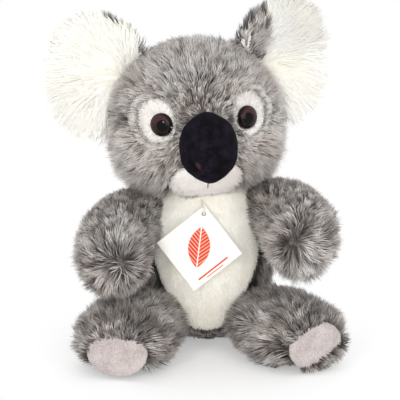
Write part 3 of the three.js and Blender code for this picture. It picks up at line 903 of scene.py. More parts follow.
class Workshop:
    """The hand tools: one selection at a time, edit mode, modifiers and placing."""

    @staticmethod
    def clear() -> None:
        """Leaves nothing selected, in object mode."""
        if bpy.context.object and bpy.context.object.mode != "OBJECT":
            bpy.ops.object.mode_set(mode="OBJECT")
        bpy.ops.object.select_all(action="DESELECT")

    @staticmethod
    def pick(*pieces: bpy.types.Object) -> None:
        """Selects only these pieces, the first one active.

        Args:
            pieces: what to select.
        """
        Workshop.clear()
        for piece in pieces:
            piece.select_set(True)
        bpy.context.view_layer.objects.active = pieces[0]

    @staticmethod
    @contextmanager
    def editing(piece: bpy.types.Object) -> Iterator[bpy.types.Mesh]:
        """Edit mode on one piece, with its whole mesh selected.

        Args:
            piece: what to edit.

        Yields:
            Its mesh.
        """
        Workshop.pick(piece)
        bpy.ops.object.mode_set(mode="EDIT")
        bpy.ops.mesh.select_all(action="SELECT")
        yield piece.data
        bpy.ops.object.mode_set(mode="OBJECT")

    @staticmethod
    def link(name: str, data: bpy.types.ID) -> bpy.types.Object:
        """A new object that holds this data, in the scene.

        Args:
            name: its name.
            data: its mesh, lens or lamp.

        Returns:
            The object.
        """
        made = bpy.data.objects.new(name, data)
        bpy.context.collection.objects.link(made)
        return made

    @staticmethod
    def finish_with(piece: bpy.types.Object, kind: str, **settings: object) -> None:
        """Adds a modifier and applies it.

        Args:
            piece: what it works on.
            kind: the modifier's type.
            settings: its settings.
        """
        Workshop.pick(piece)
        modifier = piece.modifiers.new(kind.lower(), kind)
        for key, value in settings.items():
            setattr(modifier, key, value)
        bpy.ops.object.modifier_apply(modifier=modifier.name)

    @staticmethod
    def points(mesh: bpy.types.Mesh) -> Array:
        """A mesh's points, one a row.

        Args:
            mesh: the mesh.

        Returns:
            Their places.
        """
        points = np.empty(len(mesh.vertices) * 3)
        mesh.vertices.foreach_get("co", points)
        return points.reshape(-1, 3)

    @staticmethod
    def move(mesh: bpy.types.Mesh, points: Array) -> None:
        """Moves a mesh's points to these."""
        mesh.vertices.foreach_set("co", points.ravel())
        mesh.update()

    @staticmethod
    def mark(mesh: bpy.types.Mesh, word: str, values: Array) -> None:
        """Writes one number a point, for a finish to read."""
        layer = mesh.attributes.new(word, "FLOAT", "POINT")
        layer.data.foreach_set("value", values.astype(np.float32))

    @staticmethod
    def smooth_by_angle(piece: bpy.types.Object) -> None:
        """Shades a piece smooth, apart from its sharp edges."""
        Workshop.pick(piece)
        bpy.ops.object.shade_smooth_by_angle(angle=SMOOTH_BELOW)

    @staticmethod
    def settle(piece: bpy.types.Object, name: str, place: Matrix | None = None) -> bpy.types.Object:
        """Names a piece and puts its place into its mesh.

        Args:
            piece: a finished piece.
            name: its name.
            place: where it goes, nowhere else if left out.

        Returns:
            The piece, at the origin.
        """
        piece.data.transform((place or Matrix.Identity(4)) @ piece.matrix_world)
        piece.matrix_world = Matrix.Identity(4)
        piece.name = piece.data.name = name
        return piece

    @staticmethod
    def copies(nodes: tuple[str, ...], name: str) -> bpy.types.Object:
        """One new object from the meshes of several CAD nodes, with their doubles merged.

        Args:
            nodes: the nodes' names.
            name: the new object's name.

        Returns:
            The object.
        """
        made = [Workshop.link(name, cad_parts[node].data.copy()) for node in nodes]
        Workshop.pick(*made)
        if len(made) > 1:
            bpy.ops.object.join()
        piece = made[0]
        with Workshop.editing(piece):
            bpy.ops.mesh.remove_doubles(threshold=1e-6)
        piece.data.materials.clear()
        piece.name = piece.data.name = name
        return piece

    @staticmethod
    def largest_part(piece: bpy.types.Object) -> bpy.types.Object:
        """Keeps the largest loose part of a piece and deletes the rest.

        Args:
            piece: a mesh of one or more loose parts.

        Returns:
            The part that is kept.
        """
        with Workshop.editing(piece):
            bpy.ops.mesh.separate(type="LOOSE")
        parts = sorted(bpy.context.selected_objects, key=lambda part: len(part.data.vertices))
        for part in parts[:-1]:
            bpy.data.objects.remove(part)
        return parts[-1]

    @staticmethod
    def refinish(node: str, finish: Finish) -> None:
        """Gives a CAD node whose shape is right a better finish.

        Args:
            node: the node's name.
            finish: its finish.
        """
        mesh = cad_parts[node].data
        mesh.materials.clear()
        mesh.materials.append(finish.material())
        LOG.info("%s keeps its form", node)

    @staticmethod
    def hand_over(
        piece: bpy.types.Object, body: str, slot: str, finish: Finish, replaces: str | None = None
    ) -> bpy.types.Object:
        """Gives a piece its finish and its body.

        Args:
            piece: the piece, in place.
            body: the CAD body that it rides on.
            slot: the record's material slot; not used.
            finish: its finish.
            replaces: the CAD node that it stands for, if any.

        Returns:
            The piece.
        """
        piece.data.materials.clear()
        piece.data.materials.append(finish.material())
        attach(piece, body)
        if replaces:
            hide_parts(replaces)
        LOG.info("%s rides on %s: %d faces", piece.name, body, len(piece.data.polygons))
        return piece


@dataclass(frozen=True)
class Cast:
    """How a stuffed form is cast from its solids: a voxel net, smoothed and drawn in."""

    voxel: float = 2.5
    smoothing: int = 10
    inset: float = 2.0
    fill: float = 0.8


SKIN_CAST = Cast()
BELLY_CAST = Cast(voxel=1.5, smoothing=8, inset=0.4)
FACE_CAST = Cast(voxel=1.0, smoothing=5, inset=0.3, fill=0.7)
NOSE_CAST = Cast(voxel=0.9, smoothing=14, inset=-0.5, fill=0.95)
EAR_CAST = Cast(voxel=1.4, smoothing=6, inset=0.6, fill=0.4)
SOLE_CAST = Cast(voxel=0.9, inset=-0.2)
STUFFING_CAST = Cast(voxel=3.0, smoothing=4, inset=1.0)
LIMB_STUFFING_CAST = Cast(smoothing=3, inset=0.8)
NECK_STUFFING_CAST = Cast(voxel=1.2, smoothing=3, inset=0.1, fill=0.9)
NOSE_STUFFING_CAST = Cast(voxel=1.2, smoothing=3, inset=0.2, fill=0.9)
POUCH_CAST = Cast(voxel=1.5, smoothing=4, inset=0.2, fill=0.5)


@dataclass
class Stuffed:
    """A sewn and stuffed form, cast from CAD solids.

    It stands for the first node. The others are what that one holds, so that no hollow is left.
    """

    name: str
    nodes: tuple[str, ...]
    body: str
    slot: str
    finish: Finish
    cast: Cast = SKIN_CAST

    def build(self) -> bpy.types.Object:
        """Casts the form, smooths it, draws it in and hands it over.

        Returns:
            The piece.
        """
        piece, cast = Workshop.copies(self.nodes, self.name), self.cast
        Workshop.finish_with(piece, "REMESH", mode="VOXEL", voxel_size=cast.voxel * MM)
        Workshop.finish_with(piece, "SMOOTH", factor=0.5, iterations=cast.smoothing)
        Workshop.finish_with(piece, "DISPLACE", strength=-cast.inset * MM, mid_level=0.0)
        piece = Workshop.largest_part(piece)
        piece.data.shade_smooth()
        Workshop.settle(piece, self.name)
        return Workshop.hand_over(piece, self.body, self.slot, self.finish, self.nodes[0])


def stuff(name: str, node: str, body: str, cast: Cast) -> None:
    """Fills one part of the toy with fibre.

    Args:
        name: the stuffing's name.
        node: the CAD node that it stands for.
        body: the CAD body that it rides on.
        cast: how it is cast.
    """
    Stuffed(name, (node,), body, "fibre_fill", STUFFING, cast).build()


class Ground:
    """A form's outer face as arrays: what pile is rooted on, and what it keeps clear of."""

    def __init__(self, piece: bpy.types.Object) -> None:
        """Reads a piece's mesh.

        Args:
            piece: a finished closed mesh.
        """
        mesh = piece.data
        mesh.calc_loop_triangles()
        self.points = Workshop.points(mesh)
        normals = np.empty(len(mesh.vertices) * 3)
        mesh.vertex_normals.foreach_get("vector", normals)
        self.normals = normals.reshape(-1, 3)
        corners = np.empty(len(mesh.loop_triangles) * 3, dtype=np.int32)
        mesh.loop_triangles.foreach_get("vertices", corners)
        self.corners = corners.reshape(-1, 3)
        self.tree = BVHTree.FromPolygons(self.points.tolist(), self.corners.tolist())

    def scatter(self, density: float, rng: np.random.Generator) -> tuple[Array, Array]:
        """Roots spread evenly over the face.

        Args:
            density: roots for each square millimetre.
            rng: the source of chance.

        Returns:
            Their places and the normals there.
        """
        a, b, c = (self.points[self.corners[:, i]] for i in range(3))
        areas = np.linalg.norm(np.cross(b - a, c - a), axis=1) / 2
        count = int(areas.sum() / MM**2 * density)
        which = rng.choice(len(areas), count, p=areas / areas.sum())
        u, v = rng.random((2, count))
        folded = u + v > 1
        u[folded], v[folded] = 1 - u[folded], 1 - v[folded]
        shares = np.stack([1 - u - v, u, v], 1)[:, :, None]
        places = (self.points[self.corners[which]] * shares).sum(1)
        return places, unit((self.normals[self.corners[which]] * shares).sum(1))

    def height(self, places: Array) -> Array:
        """How far places stand outside the form, below zero inside it.

        Args:
            places: points, one a row.

        Returns:
            Signed distances in metres.
        """
        found = [self.tree.find_nearest(place) for place in places.tolist()]
        nearest = np.array([hit[0] for hit in found]).reshape(-1, 3)
        corners = self.corners[np.array([hit[2] for hit in found], dtype=int)]
        reach = np.linalg.norm(self.points[corners] - nearest[:, None], axis=2)
        outward = (self.normals[corners] / (reach + 1e-7)[:, :, None]).sum(1)
        away = places - nearest
        distance = np.linalg.norm(away, axis=1)
        return np.where(((away * outward).sum(1) < 0) & (distance < DEEPEST), -distance, distance)


def everywhere(places: Array) -> Array:
    """All of the places."""
    return np.ones(len(places), bool)


def keep_clear(kept: Array, places: Array, reach: float, *covers: Ground) -> Array:
    """Drops the places that are inside other forms, or close to them.

    Args:
        kept: which places still count.
        places: points, one a row.
        reach: how far outside each form they have to be, in metres.
        covers: the forms.

    Returns:
        Which places are left.
    """
    for cover in covers:
        kept[kept] = cover.height(places[kept]) > reach
    return kept


# Pile


@dataclass(frozen=True)
class Whorl:
    """Pile that lies away from one point, and turns to another way far from it."""

    centre: Place
    onward: Place = (0.0, 0.0, -1.0)
    near: float = 60.0
    far: float = 110.0

    def __call__(self, places: Array, normals: Array) -> Array:
        """The way the pile lies.

        Args:
            places: the roots.
            normals: the face's normals there.

        Returns:
            Directions along the face.
        """
        away = places - np.array(self.centre) * MM
        turn = steady(np.linalg.norm(away, axis=1), self.near * MM, self.far * MM)[:, None]
        return along_face(unit(away) * (1 - turn) + np.array(self.onward) * turn, normals)


@dataclass(frozen=True)
class Pile:
    """How one kind of pile grows, with its density in strands for each square millimetre."""

    length: float
    width: float
    density: float
    lift: tuple[float, float]
    tuft: float
    pull: float
    droop: float = 0.06
    stray: float = 14.0
    swirl: float = 22.0
    uneven: float = 0.22
    steps: int = 2

    @property
    def triangles(self) -> int:
        """How many triangles one strand has."""
        return 6 * (self.steps - 1) + 4


HEAD_PILE = Pile(length=9.5, width=0.42, density=1.6, lift=(44, 18), tuft=2.2, pull=0.5, stray=16)
BODY_PILE = Pile(length=10.5, width=0.5, density=1.1, lift=(44, 16), tuft=3.0, pull=0.5, stray=16)
LIMB_PILE = Pile(
    length=10.0, width=0.44, density=1.45, lift=(46, 20), tuft=2.8, pull=0.55, stray=21, swirl=32
)
BELLY_PILE = Pile(length=3.6, width=0.34, density=1.7, lift=(20, 5), tuft=2.0, pull=0.15, stray=12)
PATCH_PILE = Pile(length=3.2, width=0.3, density=2.6, lift=(30, 10), tuft=1.8, pull=0.2)
CHIN_PILE = Pile(length=4.6, width=0.34, density=2.4, lift=(34, 12), tuft=2.2, pull=0.25, droop=0.0)
FRINGE_PILE = Pile(length=9.0, width=0.42, density=3.6, lift=(40, 16), tuft=2.2, pull=0.45)
SOLE_PILE = Pile(length=7.0, width=0.44, density=2.0, lift=(50, 24), tuft=2.2, pull=0.4)
EAR_PILE = Pile(
    length=14.5, width=0.36, density=2.2, lift=(26, 7), tuft=4.5, pull=0.3, stray=10, steps=3, uneven=0.35
)
EAR_BACK_PILE = Pile(length=11.0, width=0.46, density=1.5, lift=(44, 18), tuft=2.9, pull=0.5)

WIDE_MOTTLE = Mottle(size=22.0, step=0, share=0.55)
WARM_MOTTLE = Mottle(size=30.0, step=1)
FINE_MOTTLE = Mottle(size=8.0, step=2, share=0.75)
SWIRL_MOTTLE = Mottle(size=17.0, step=3)
SPOT_MOTTLE = Mottle(size=7.0, step=4)
SPOTS = Ease(1.0, 0.6, 0.97)

# A strand's half width at its root, middle and tip, as shares of its width
GIRTHS = (0.36, 0.5, 0.15)
LOWEST_POINT = 0.5 * MM

# The strands' colour map has one band of columns for each step of warmth, and a strand is this wide on it
WARMTH_BANDS = 6
MAP_HALF_WIDTH = 0.002
MAP_MARGIN = 0.001


@dataclass
class Strands:
    """Strands as arrays, one a row: their spines, the cloth's normals, and what colours them."""

    spines: Array
    normals: Array
    tone: Array
    warmth: Array

    def part(self, chosen: Array) -> "Strands":
        """Only the chosen strands."""
        return Strands(self.spines[chosen], self.normals[chosen], self.tone[chosen], self.warmth[chosen])


@dataclass
class Coat:
    """The pile of one cloth, grown as closed tapering strands."""

    name: str
    pile: Pile
    finish: PileFinish
    body: str
    slot: str
    seed: int
    contrast: float = 0.3
    grain: float = 0.1
    softness: float = 0.7
    warmth: float = 0.5

    def grow(
        self, ground: Ground, flow: Flow, keep: Keep, shade: Shade | None = None, trim: Shade | None = None
    ) -> None:
        """Roots the strands, lays them and makes them meshes, each small enough to export whole.

        Args:
            ground: the form that they grow from.
            flow: the way they lie.
            keep: which roots are kept, from their places and normals.
            shade: how much lighter they are, by place.
            trim: the share of their length that is left, by place.
        """
        rng = np.random.default_rng(self.seed)
        roots, normals = ground.scatter(self.pile.density, rng)
        kept = keep(roots, normals)
        roots, normals = roots[kept], normals[kept]
        guides, tuft_tone = self._tufts(roots, rng)
        spines = self._spines(roots, normals, flow(roots, normals), trim, rng)
        spines = self._gathered(spines, guides, rng)
        tone = self._tone(roots, tuft_tone, rng)
        if shade is not None:
            tone += shade(roots)
        warmth = self.warmth * (0.5 + 0.5 * WARM_MOTTLE.over(roots, self.seed))
        self._cut(Strands(spines, normals, np.clip(tone, 0.02, 0.98), warmth), rng)

    def _tufts(self, roots: Array, rng: np.random.Generator) -> tuple[Array, Array]:
        """Gives each root the tuft that it leans towards.

        Args:
            roots: the roots.
            rng: the source of chance.

        Returns:
            The root in the middle of each one's tuft, and the tuft's tone.
        """
        count = max(1, int(len(roots) / (self.pile.density * self.pile.tuft**2)))
        centres = rng.choice(len(roots), count, replace=False)
        tree = KDTree(count)
        for number, centre in enumerate(roots[centres].tolist()):
            tree.insert(centre, number)
        tree.balance()
        nearest = np.array([tree.find(root)[1] for root in roots.tolist()])
        return centres[nearest], np.clip(rng.normal(size=count), -2, 2)[nearest]

    def _spines(
        self, roots: Array, normals: Array, lie: Array, trim: Shade | None, rng: np.random.Generator
    ) -> Array:
        """Lays a spine of a few points for each strand.

        Args:
            roots: the roots.
            normals: the cloth's normals there.
            lie: the way the pile lies there.
            trim: the share of the length that is left, by place.
            rng: the source of chance.

        Returns:
            The spines' points.
        """
        pile, count = self.pile, len(roots)
        swirl = pile.swirl * SWIRL_MOTTLE.over(roots, self.seed)
        turn = np.radians(rng.normal(0, pile.stray, count) + swirl)[:, None]
        lie = lie * np.cos(turn) + np.cross(normals, lie) * np.sin(turn)
        length = pile.length * MM * (1 + pile.uneven * rng.uniform(-1, 1, count))
        if trim is not None:
            length = length * trim(roots)
        extra = np.radians(rng.normal(0, pile.stray * 0.6, count))
        spine = [roots]
        for step in range(pile.steps):
            share = (step + 0.5) / pile.steps
            rise = np.radians(pile.lift[0] + (pile.lift[1] - pile.lift[0]) * share) + extra
            way = normals * np.sin(rise)[:, None] + lie * np.cos(rise)[:, None]
            way[:, 2] -= pile.droop * 2 * share
            spine.append(spine[-1] + way * (length / pile.steps)[:, None])
        return np.stack(spine, 1)

    def _gathered(self, spines: Array, guides: Array, rng: np.random.Generator) -> Array:
        """Leans the strands towards their tufts and keeps them off the ground.

        Args:
            spines: the spines' points.
            guides: the strand in the middle of each one's tuft.
            rng: the source of chance.

        Returns:
            The spines' points.
        """
        share = np.linspace(0, 1, self.pile.steps + 1)[None, :, None]
        hold = self.pile.pull * share**1.2 * rng.uniform(0.6, 1.0, (len(spines), 1, 1))
        spines = spines + hold * (spines[guides] - spines)
        spines[:, :, 2] = np.maximum(spines[:, :, 2], LOWEST_POINT)
        return spines

    def _tone(self, roots: Array, tuft_tone: Array, rng: np.random.Generator) -> Array:
        """Mottles the coat by tufts, by wide and fine patches and by dark spots.

        Args:
            roots: the roots.
            tuft_tone: the tone of each one's tuft.
            rng: the source of chance.

        Returns:
            Each strand's tone, round a half.
        """
        mottled = tuft_tone + WIDE_MOTTLE.over(roots, self.seed) + FINE_MOTTLE.over(roots, self.seed)
        spots = SPOTS.rising(SPOT_MOTTLE.over(roots, self.seed))
        return 0.5 + self.contrast * (mottled - spots) + self.grain * rng.normal(size=len(roots))

    def _cut(self, strands: Strands, rng: np.random.Generator) -> None:
        """Makes the strands one piece, or several by the side that they are on.

        Args:
            strands: all strands of the coat.
            rng: the source of chance.
        """
        roots = strands.spines[:, 0]
        middle = roots.mean(0)
        order = np.argsort(np.arctan2(roots[:, 0] - middle[0], middle[1] - roots[:, 1]))
        parts = math.ceil(len(order) * self.pile.triangles / MOST_TRIANGLES)
        for number, chosen in enumerate(np.array_split(order, parts)):
            name = self.name if parts == 1 else f"{self.name}_{number + 1}"
            widths = self.pile.width * MM * rng.uniform(0.75, 1.2, len(chosen))
            piece = Workshop.link(name, self._mesh(name, strands.part(chosen), widths))
            Workshop.hand_over(piece, self.body, self.slot, self.finish)

    def _mesh(self, name: str, strands: Strands, widths: Array) -> bpy.types.Mesh:
        """Skins the spines with three sides, a point and a closed root.

        Args:
            name: the mesh's name.
            strands: its strands.
            widths: how wide each one is.

        Returns:
            The mesh.
        """
        spines, normals, rings = strands.spines, strands.normals, self.pile.steps
        count = len(spines)
        axis = unit(spines[:, -1] - spines[:, 0])
        across = along_face(np.cross(axis, normals), axis)
        over = np.cross(axis, across)
        girth = np.interp(np.arange(rings) / rings, [0, 0.5, 1], GIRTHS)
        angle = np.arange(3) * 2 * np.pi / 3
        ring = across[:, None] * np.cos(angle)[None, :, None] + over[:, None] * np.sin(angle)[None, :, None]
        bands = spines[:, :-1, None] + ring[:, None] * (widths[:, None] * girth[None])[:, :, None, None]
        points = np.concatenate([bands.reshape(count, -1, 3), spines[:, -1:]], 1)
        each = points.shape[1]
        faces, fits = self._strand_faces()
        corners = (faces.ravel()[None] + (np.arange(count) * each)[:, None]).ravel()
        mesh = bpy.data.meshes.new(name)
        mesh.vertices.add(count * each)
        mesh.vertices.foreach_set("co", points.ravel())
        mesh.loops.add(len(corners))
        mesh.loops.foreach_set("vertex_index", corners.astype(np.int32))
        mesh.polygons.add(len(corners) // 3)
        mesh.polygons.foreach_set("loop_start", np.arange(0, len(corners), 3, dtype=np.int32))
        mesh.update(calc_edges=True)
        mesh.shade_smooth()
        own = np.concatenate([np.tile(ring, (1, rings, 1)), axis[:, None]], 1)
        facing = normals[:, None] * self.softness + own * (1 - self.softness)
        mesh.normals_split_custom_set_from_vertices(unit(facing.reshape(-1, 3)))
        band = np.round(strands.warmth * WARMTH_BANDS)
        Workshop.mark(mesh, "along", np.tile(np.append(np.repeat(np.arange(rings) / rings, 3), 1.0), count))
        Workshop.mark(mesh, "tone", np.repeat(strands.tone, each))
        Workshop.mark(mesh, "warmth", np.repeat(band / WARMTH_BANDS, each))
        column = (band + strands.tone)[:, None] / (WARMTH_BANDS + 1) + fits[None, :, 0] * MAP_HALF_WIDTH
        places = np.stack([column, np.tile(fits[None, :, 1], (count, 1))], -1)
        layer = mesh.uv_layers.new(name="OFBake")
        layer.data.foreach_set("uv", np.clip(places, MAP_MARGIN, 1 - MAP_MARGIN).astype(np.float32).ravel())
        return mesh

    def _strand_faces(self) -> tuple[Array, Array]:
        """Sets out one strand's faces.

        Returns:
            Its triangles, and where each of their corners lies on its map.
        """
        rings, faces, fits = self.pile.steps, [], []
        for ring in range(rings - 1):
            low, high = ring / rings, (ring + 1) / rings
            for side in range(3):
                a, b = ring * 3 + side, ring * 3 + (side + 1) % 3
                faces += [(a, b, b + 3), (a, b + 3, a + 3)]
                fits += [(-1, low), (1, low), (1, high), (-1, low), (1, high), (-1, high)]
        last, low = (rings - 1) * 3, (rings - 1) / rings
        for side in range(3):
            faces.append((last + side, last + (side + 1) % 3, last + 3))
            fits += [(-1, low), (1, low), (0, 1)]
        faces.append((0, 2, 1))
        fits += [(-1, 0.0), (1, 0.0), (0, 0.02)]
        return np.array(faces), np.array(fits, dtype=float)


# Sub-assemblies


@dataclass
class Torso:
    """Grey back and sides, ivory belly, the stuffing and the pellet bag."""

    lie: Whorl = Whorl((0.0, 20.0, 125.0), near=10, far=60)
    belly_lie: Whorl = Whorl((0.0, -20.0, 125.0), near=5, far=30)
    belly_foot: float = 13.0
    belly_turn: float = 0.3
    belly_tone: float = 0.3
    belly_shadow: Ease = Ease(0.65, 8, 55)
    seat_rise: float = 17.0
    seat_least: float = 0.04
    seat_trim: Ease = Ease(0.8, 8, 20)
    nook: Ease = Ease(0.32, 0, 25)
    under_covers: float = -1.0
    skin: Ground = field(init=False)
    belly: Ground = field(init=False)
    covers: list[Ground] = field(init=False)

    def build(self) -> None:
        """Builds the forms, from the inside out."""
        stuff("torso_stuffing", "torso_fill", "torso", STUFFING_CAST)
        Stuffed("pellet_bag", ("pellet_pouch",), "torso", "pouch_cloth", POUCH_CLOTH, POUCH_CAST).build()
        nodes = ("torso_skin", "belly_panel", "torso_fill", "pellet_pouch")
        skin = Stuffed("torso_backing", nodes, "torso", "grey_plush", GREY_BACKING).build()
        cloth = Stuffed("belly_backing", nodes[1:2], "torso", "ivory_plush", PALE_BACKING, BELLY_CAST)
        self.belly = Ground(cloth.build())
        self._round_seat(skin)
        self.skin = Ground(skin)

    def _round_seat(self, skin: bpy.types.Object) -> None:
        """Draws the front of the seat back below the belly, as the stuffing leaves it.

        Args:
            skin: the torso's cast.
        """
        points = Workshop.points(skin.data)
        under = (points[:, 2] < self.seat_rise * MM) & (points[:, 1] < 0)
        rise = points[under, 2] / (self.seat_rise * MM)
        points[under, 1] *= np.sqrt(np.clip(rise, self.seat_least, 1))
        Workshop.move(skin.data, points)

    def _bare(self, places: Array) -> Array:
        """Which places no head or limb covers."""
        return keep_clear(everywhere(places), places, self.under_covers * MM, *self.covers)

    def _grey(self, places: Array, normals: Array) -> Array:
        """Where grey pile grows: off the belly's panel."""
        return keep_clear(self._bare(places), places, PANEL_REACH, self.belly)

    def _ivory(self, places: Array, normals: Array) -> Array:
        """Where ivory pile grows: on the outer face of the belly's panel, above its foot."""
        outer = (normals[:, 1] < self.belly_turn) & (places[:, 2] > self.belly_foot * MM)
        return keep_clear(outer & self._bare(places), places, PROUD, self.skin)

    def _grey_tone(self, places: Array) -> Array:
        """Darker pile towards the front, where the limbs shade it."""
        return -self.nook.rising(-places[:, 1] / MM)

    def _ivory_tone(self, places: Array) -> Array:
        """Darker pile at the belly's foot."""
        return self.belly_tone - self.belly_shadow.falling(places[:, 2] / MM)

    def _seat_length(self, places: Array) -> Array:
        """Shorter pile below the belly, between the legs."""
        return 1.0 - self.seat_trim.falling(places[:, 2] / MM) * (places[:, 1] < 0)

    def dress(self, covers: list[Ground]) -> None:
        """Grows the pile.

        Args:
            covers: the head and limbs, below which none shows.
        """
        self.covers = covers
        coat = Coat("torso_pile", BODY_PILE, GREY_PILE, "torso", "grey_plush", 11, contrast=0.24)
        coat.grow(self.skin, self.lie, self._grey, self._grey_tone, self._seat_length)
        front = Coat("belly_pile", BELLY_PILE, IVORY_PILE, "torso", "ivory_plush", 12, contrast=0.08)
        front.grow(self.belly, self.belly_lie, self._ivory, self._ivory_tone)


@dataclass(frozen=True)
class Oval:
    """An oval on the front of the face, in the head's own frame."""

    middle: tuple[float, float]
    half: tuple[float, float]
    beyond: float = 9.0

    def off(self, mine: Array, side: Side) -> Array:
        """How many half sizes places are from its middle.

        Args:
            mine: places in the head's own frame.
            side: which side of the face it is on.

        Returns:
            Below 1 inside it, and far above 1 on the back of the head.
        """
        x = (mine[:, 0] - side.value * self.middle[0]) / self.half[0]
        z = (mine[:, 2] - self.middle[1]) / self.half[1]
        return np.where(mine[:, 1] < 0, np.hypot(x, z), self.beyond)


@dataclass
class Head:
    """The head with its white panels."""

    middle: Place = (-6.4, -6.0, 142.5)
    yaw: float = 8.0
    roll: float = 3.8
    bridge: Place = (0.0, -46.0, -1.0)
    lie_turns: tuple[float, float] = (75.0, 125.0)
    panel: Oval = Oval((28.4, 4.5), (11.8, 14.8))
    panel_overlap: float = 0.98
    patch: Oval = Oval((27.4, 4.6), (9.6, 12.8))
    patch_trim: Ease = Ease(0.45, 1.0, 1.8)
    patch_light: Ease = Ease(0.3, 1.0, 1.5)
    chin_middle: float = -24.6
    chin_half: tuple[float, float] = (22.5, 16.8)
    chin_below: float = 0.6
    chin_whorl: Place = (0.0, -52.0, -18.0)
    ragged: float = 0.05
    white_tone: float = 0.46
    white_fade: Ease = Ease(0.85, 0.68, 1.08)
    nose_middle: Place = (0.0, -50.0, -11.5)
    nose_stretch: Place = (1.0, 1.0, 1.25)
    nose_trim: Ease = Ease(0.55, 16, 46)
    nose_half: tuple[float, float] = (17.5, 21.5)
    # Painted shade round the nose's base: how dark, at which ring and how wide.
    nose_shade: tuple[float, float, float] = (0.24, 1.05, 0.22)
    nose_front: float = -25.0
    jowl: Place = (40.0, 10.0, 27.0)
    jowl_half: Place = (14.0, 30.0, 12.0)
    jowl_extra: float = 0.4
    tone: float = 0.18
    bridge_dark: float = 0.2
    bridge_half: Place = (14.0, 30.0, 20.0)
    side_light: Ease = Ease(0.06, 25, 45)
    jaw_light: Ease = Ease(0.16, 12, 34)
    # Painted light: the pile on the toy's left side is lighter, as if lit from that side.
    left_light: Ease = Ease(0.24, 8, 34)
    skin: Ground = field(init=False)
    patches: dict[Side, Ground] = field(init=False)
    chin: Ground = field(init=False)
    covers: list[Ground] = field(init=False)

    @property
    def frame(self) -> Matrix:
        """The head's own frame, in metres.

        Returns:
            Its place and turn.
        """
        roll = Matrix.Rotation(math.radians(-self.roll), 4, "Y")
        yaw = Matrix.Rotation(math.radians(self.yaw), 4, "Z")
        return Matrix.Translation(Vector(self.middle) * MM) @ roll @ yaw

    def own(self, places: Array) -> Array:
        """Places in the head's own frame."""
        return own_places(self.frame, places)

    def at(self, place: Place) -> Place:
        """A place of the head's own frame, in the toy's frame."""
        return tuple((self.frame @ (Vector(place) * MM)) / MM)

    def build(self) -> None:
        """Builds the forms, from the inside out."""
        stuff("head_stuffing", "head_fill", "head", STUFFING_CAST)
        eyes = tuple(f"{side.word}_eye{part}" for side in Side for part in ("", "_washer"))
        patches = {side: f"{side.word}_eye_patch" for side in Side}
        nodes = ("head_skin", "head_fill", "chin_panel", *patches.values(), *eyes)
        self.skin = Ground(Stuffed("head_backing", nodes, "head", "grey_plush", GREY_BACKING).build())
        self.patches = {side: self._white_cloth(f"{node}_backing", node) for side, node in patches.items()}
        self.chin = self._white_cloth("chin_backing", "chin_panel")

    @staticmethod
    def _white_cloth(name: str, node: str) -> Ground:
        """One of the face's white panels, cast from its CAD node."""
        return Ground(Stuffed(name, (node,), "head", "white_plush", PALE_BACKING, FACE_CAST).build())

    def off_patch(self, mine: Array, side: Side) -> Array:
        """How many half sizes places are from the middle of a patch's white pile."""
        return self.patch.off(mine, side) + self.ragged * clouds(mine * MM, 4 * MM, 71)

    def _off_chin(self, places: Array) -> Array:
        """How many half sizes places are from the middle of the chin's white pile.

        Args:
            places: points, one a row.

        Returns:
            Below 1 inside it.
        """
        mine = self.own(places)
        rise = (mine[:, 2] - self.chin_middle) / self.chin_half[1]
        rise = np.where(rise < 0, rise * self.chin_below, rise)
        return np.hypot(mine[:, 0] / self.chin_half[0], rise) + self.ragged * clouds(mine * MM, 5 * MM, 73)

    def flow(self, places: Array, normals: Array) -> Array:
        """The way the head's pile lies: away from the nose's bridge."""
        near, far = self.lie_turns
        return Whorl(self.at(self.bridge), near=near, far=far)(places, normals)

    def trim(self, places: Array) -> Array:
        """Shorter pile round the nose and beside the white patches, and longer pile on the jowls.

        Args:
            places: the roots.

        Returns:
            The share of the length that is left.
        """
        mine = self.own(places)
        off = (mine - np.array(self.nose_middle)) / np.array(self.nose_stretch)
        share = 1 - self.nose_trim.falling(np.linalg.norm(off, axis=1))
        for side in Side:
            share = np.minimum(share, 1 - self.patch_trim.falling(self.off_patch(mine, side)))
        return share + self.jowl_extra * lump(np.abs(mine), self.jowl, self.jowl_half) * (mine[:, 2] < 0)

    def shade(self, places: Array) -> Array:
        """Lighter cheeks and jaw, painted light on the toy's left side, a darker bridge, painted shade
        round the nose and pale pile by the patches.

        Args:
            places: the roots.

        Returns:
            How much lighter the pile is.
        """
        mine = self.own(places)
        dark, ring, spread = self.nose_shade
        rise = (mine[:, 2] - self.nose_middle[2]) / self.nose_half[1]
        off_nose = np.hypot(mine[:, 0] / self.nose_half[0], rise)
        tone = self.tone - self.bridge_dark * lump(mine, self.bridge, self.bridge_half)
        # Painted shade: a darker ring of pile round the base of the nose.
        tone -= dark * bell(off_nose, ring, spread) * (mine[:, 1] < self.nose_front)
        # The toy's left side is painted lighter, as painted light from that side.
        tone += self.side_light.rising(np.abs(mine[:, 0])) + self.left_light.rising(mine[:, 0])
        tone += self.jaw_light.rising(-mine[:, 2])
        for side in Side:
            tone += self.patch_light.falling(self.off_patch(mine, side))
        return tone

    def fade(self, off: Array) -> Array:
        """White pile's tone, which greys towards the edge of its oval."""
        return self.white_tone - self.white_fade.rising(off)

    def proud(self, places: Array) -> Array:
        """Which places of a white panel stand free of other cloth."""
        return keep_clear(everywhere(places), places, PROUD, self.skin, *self.covers)

    def _grey(self, places: Array, normals: Array) -> Array:
        """Where grey pile grows: off the white panels, the nose and the torso.

        Args:
            places: the roots.
            normals: the cloth's normals there.

        Returns:
            Which roots are kept.
        """
        mine = self.own(places)
        off = np.minimum(self.panel.off(mine, Side.LEFT), self.panel.off(mine, Side.RIGHT))
        kept = keep_clear(off > self.panel_overlap, places, PANEL_REACH, self.chin)
        return keep_clear(kept, places, 0.0, *self.covers)

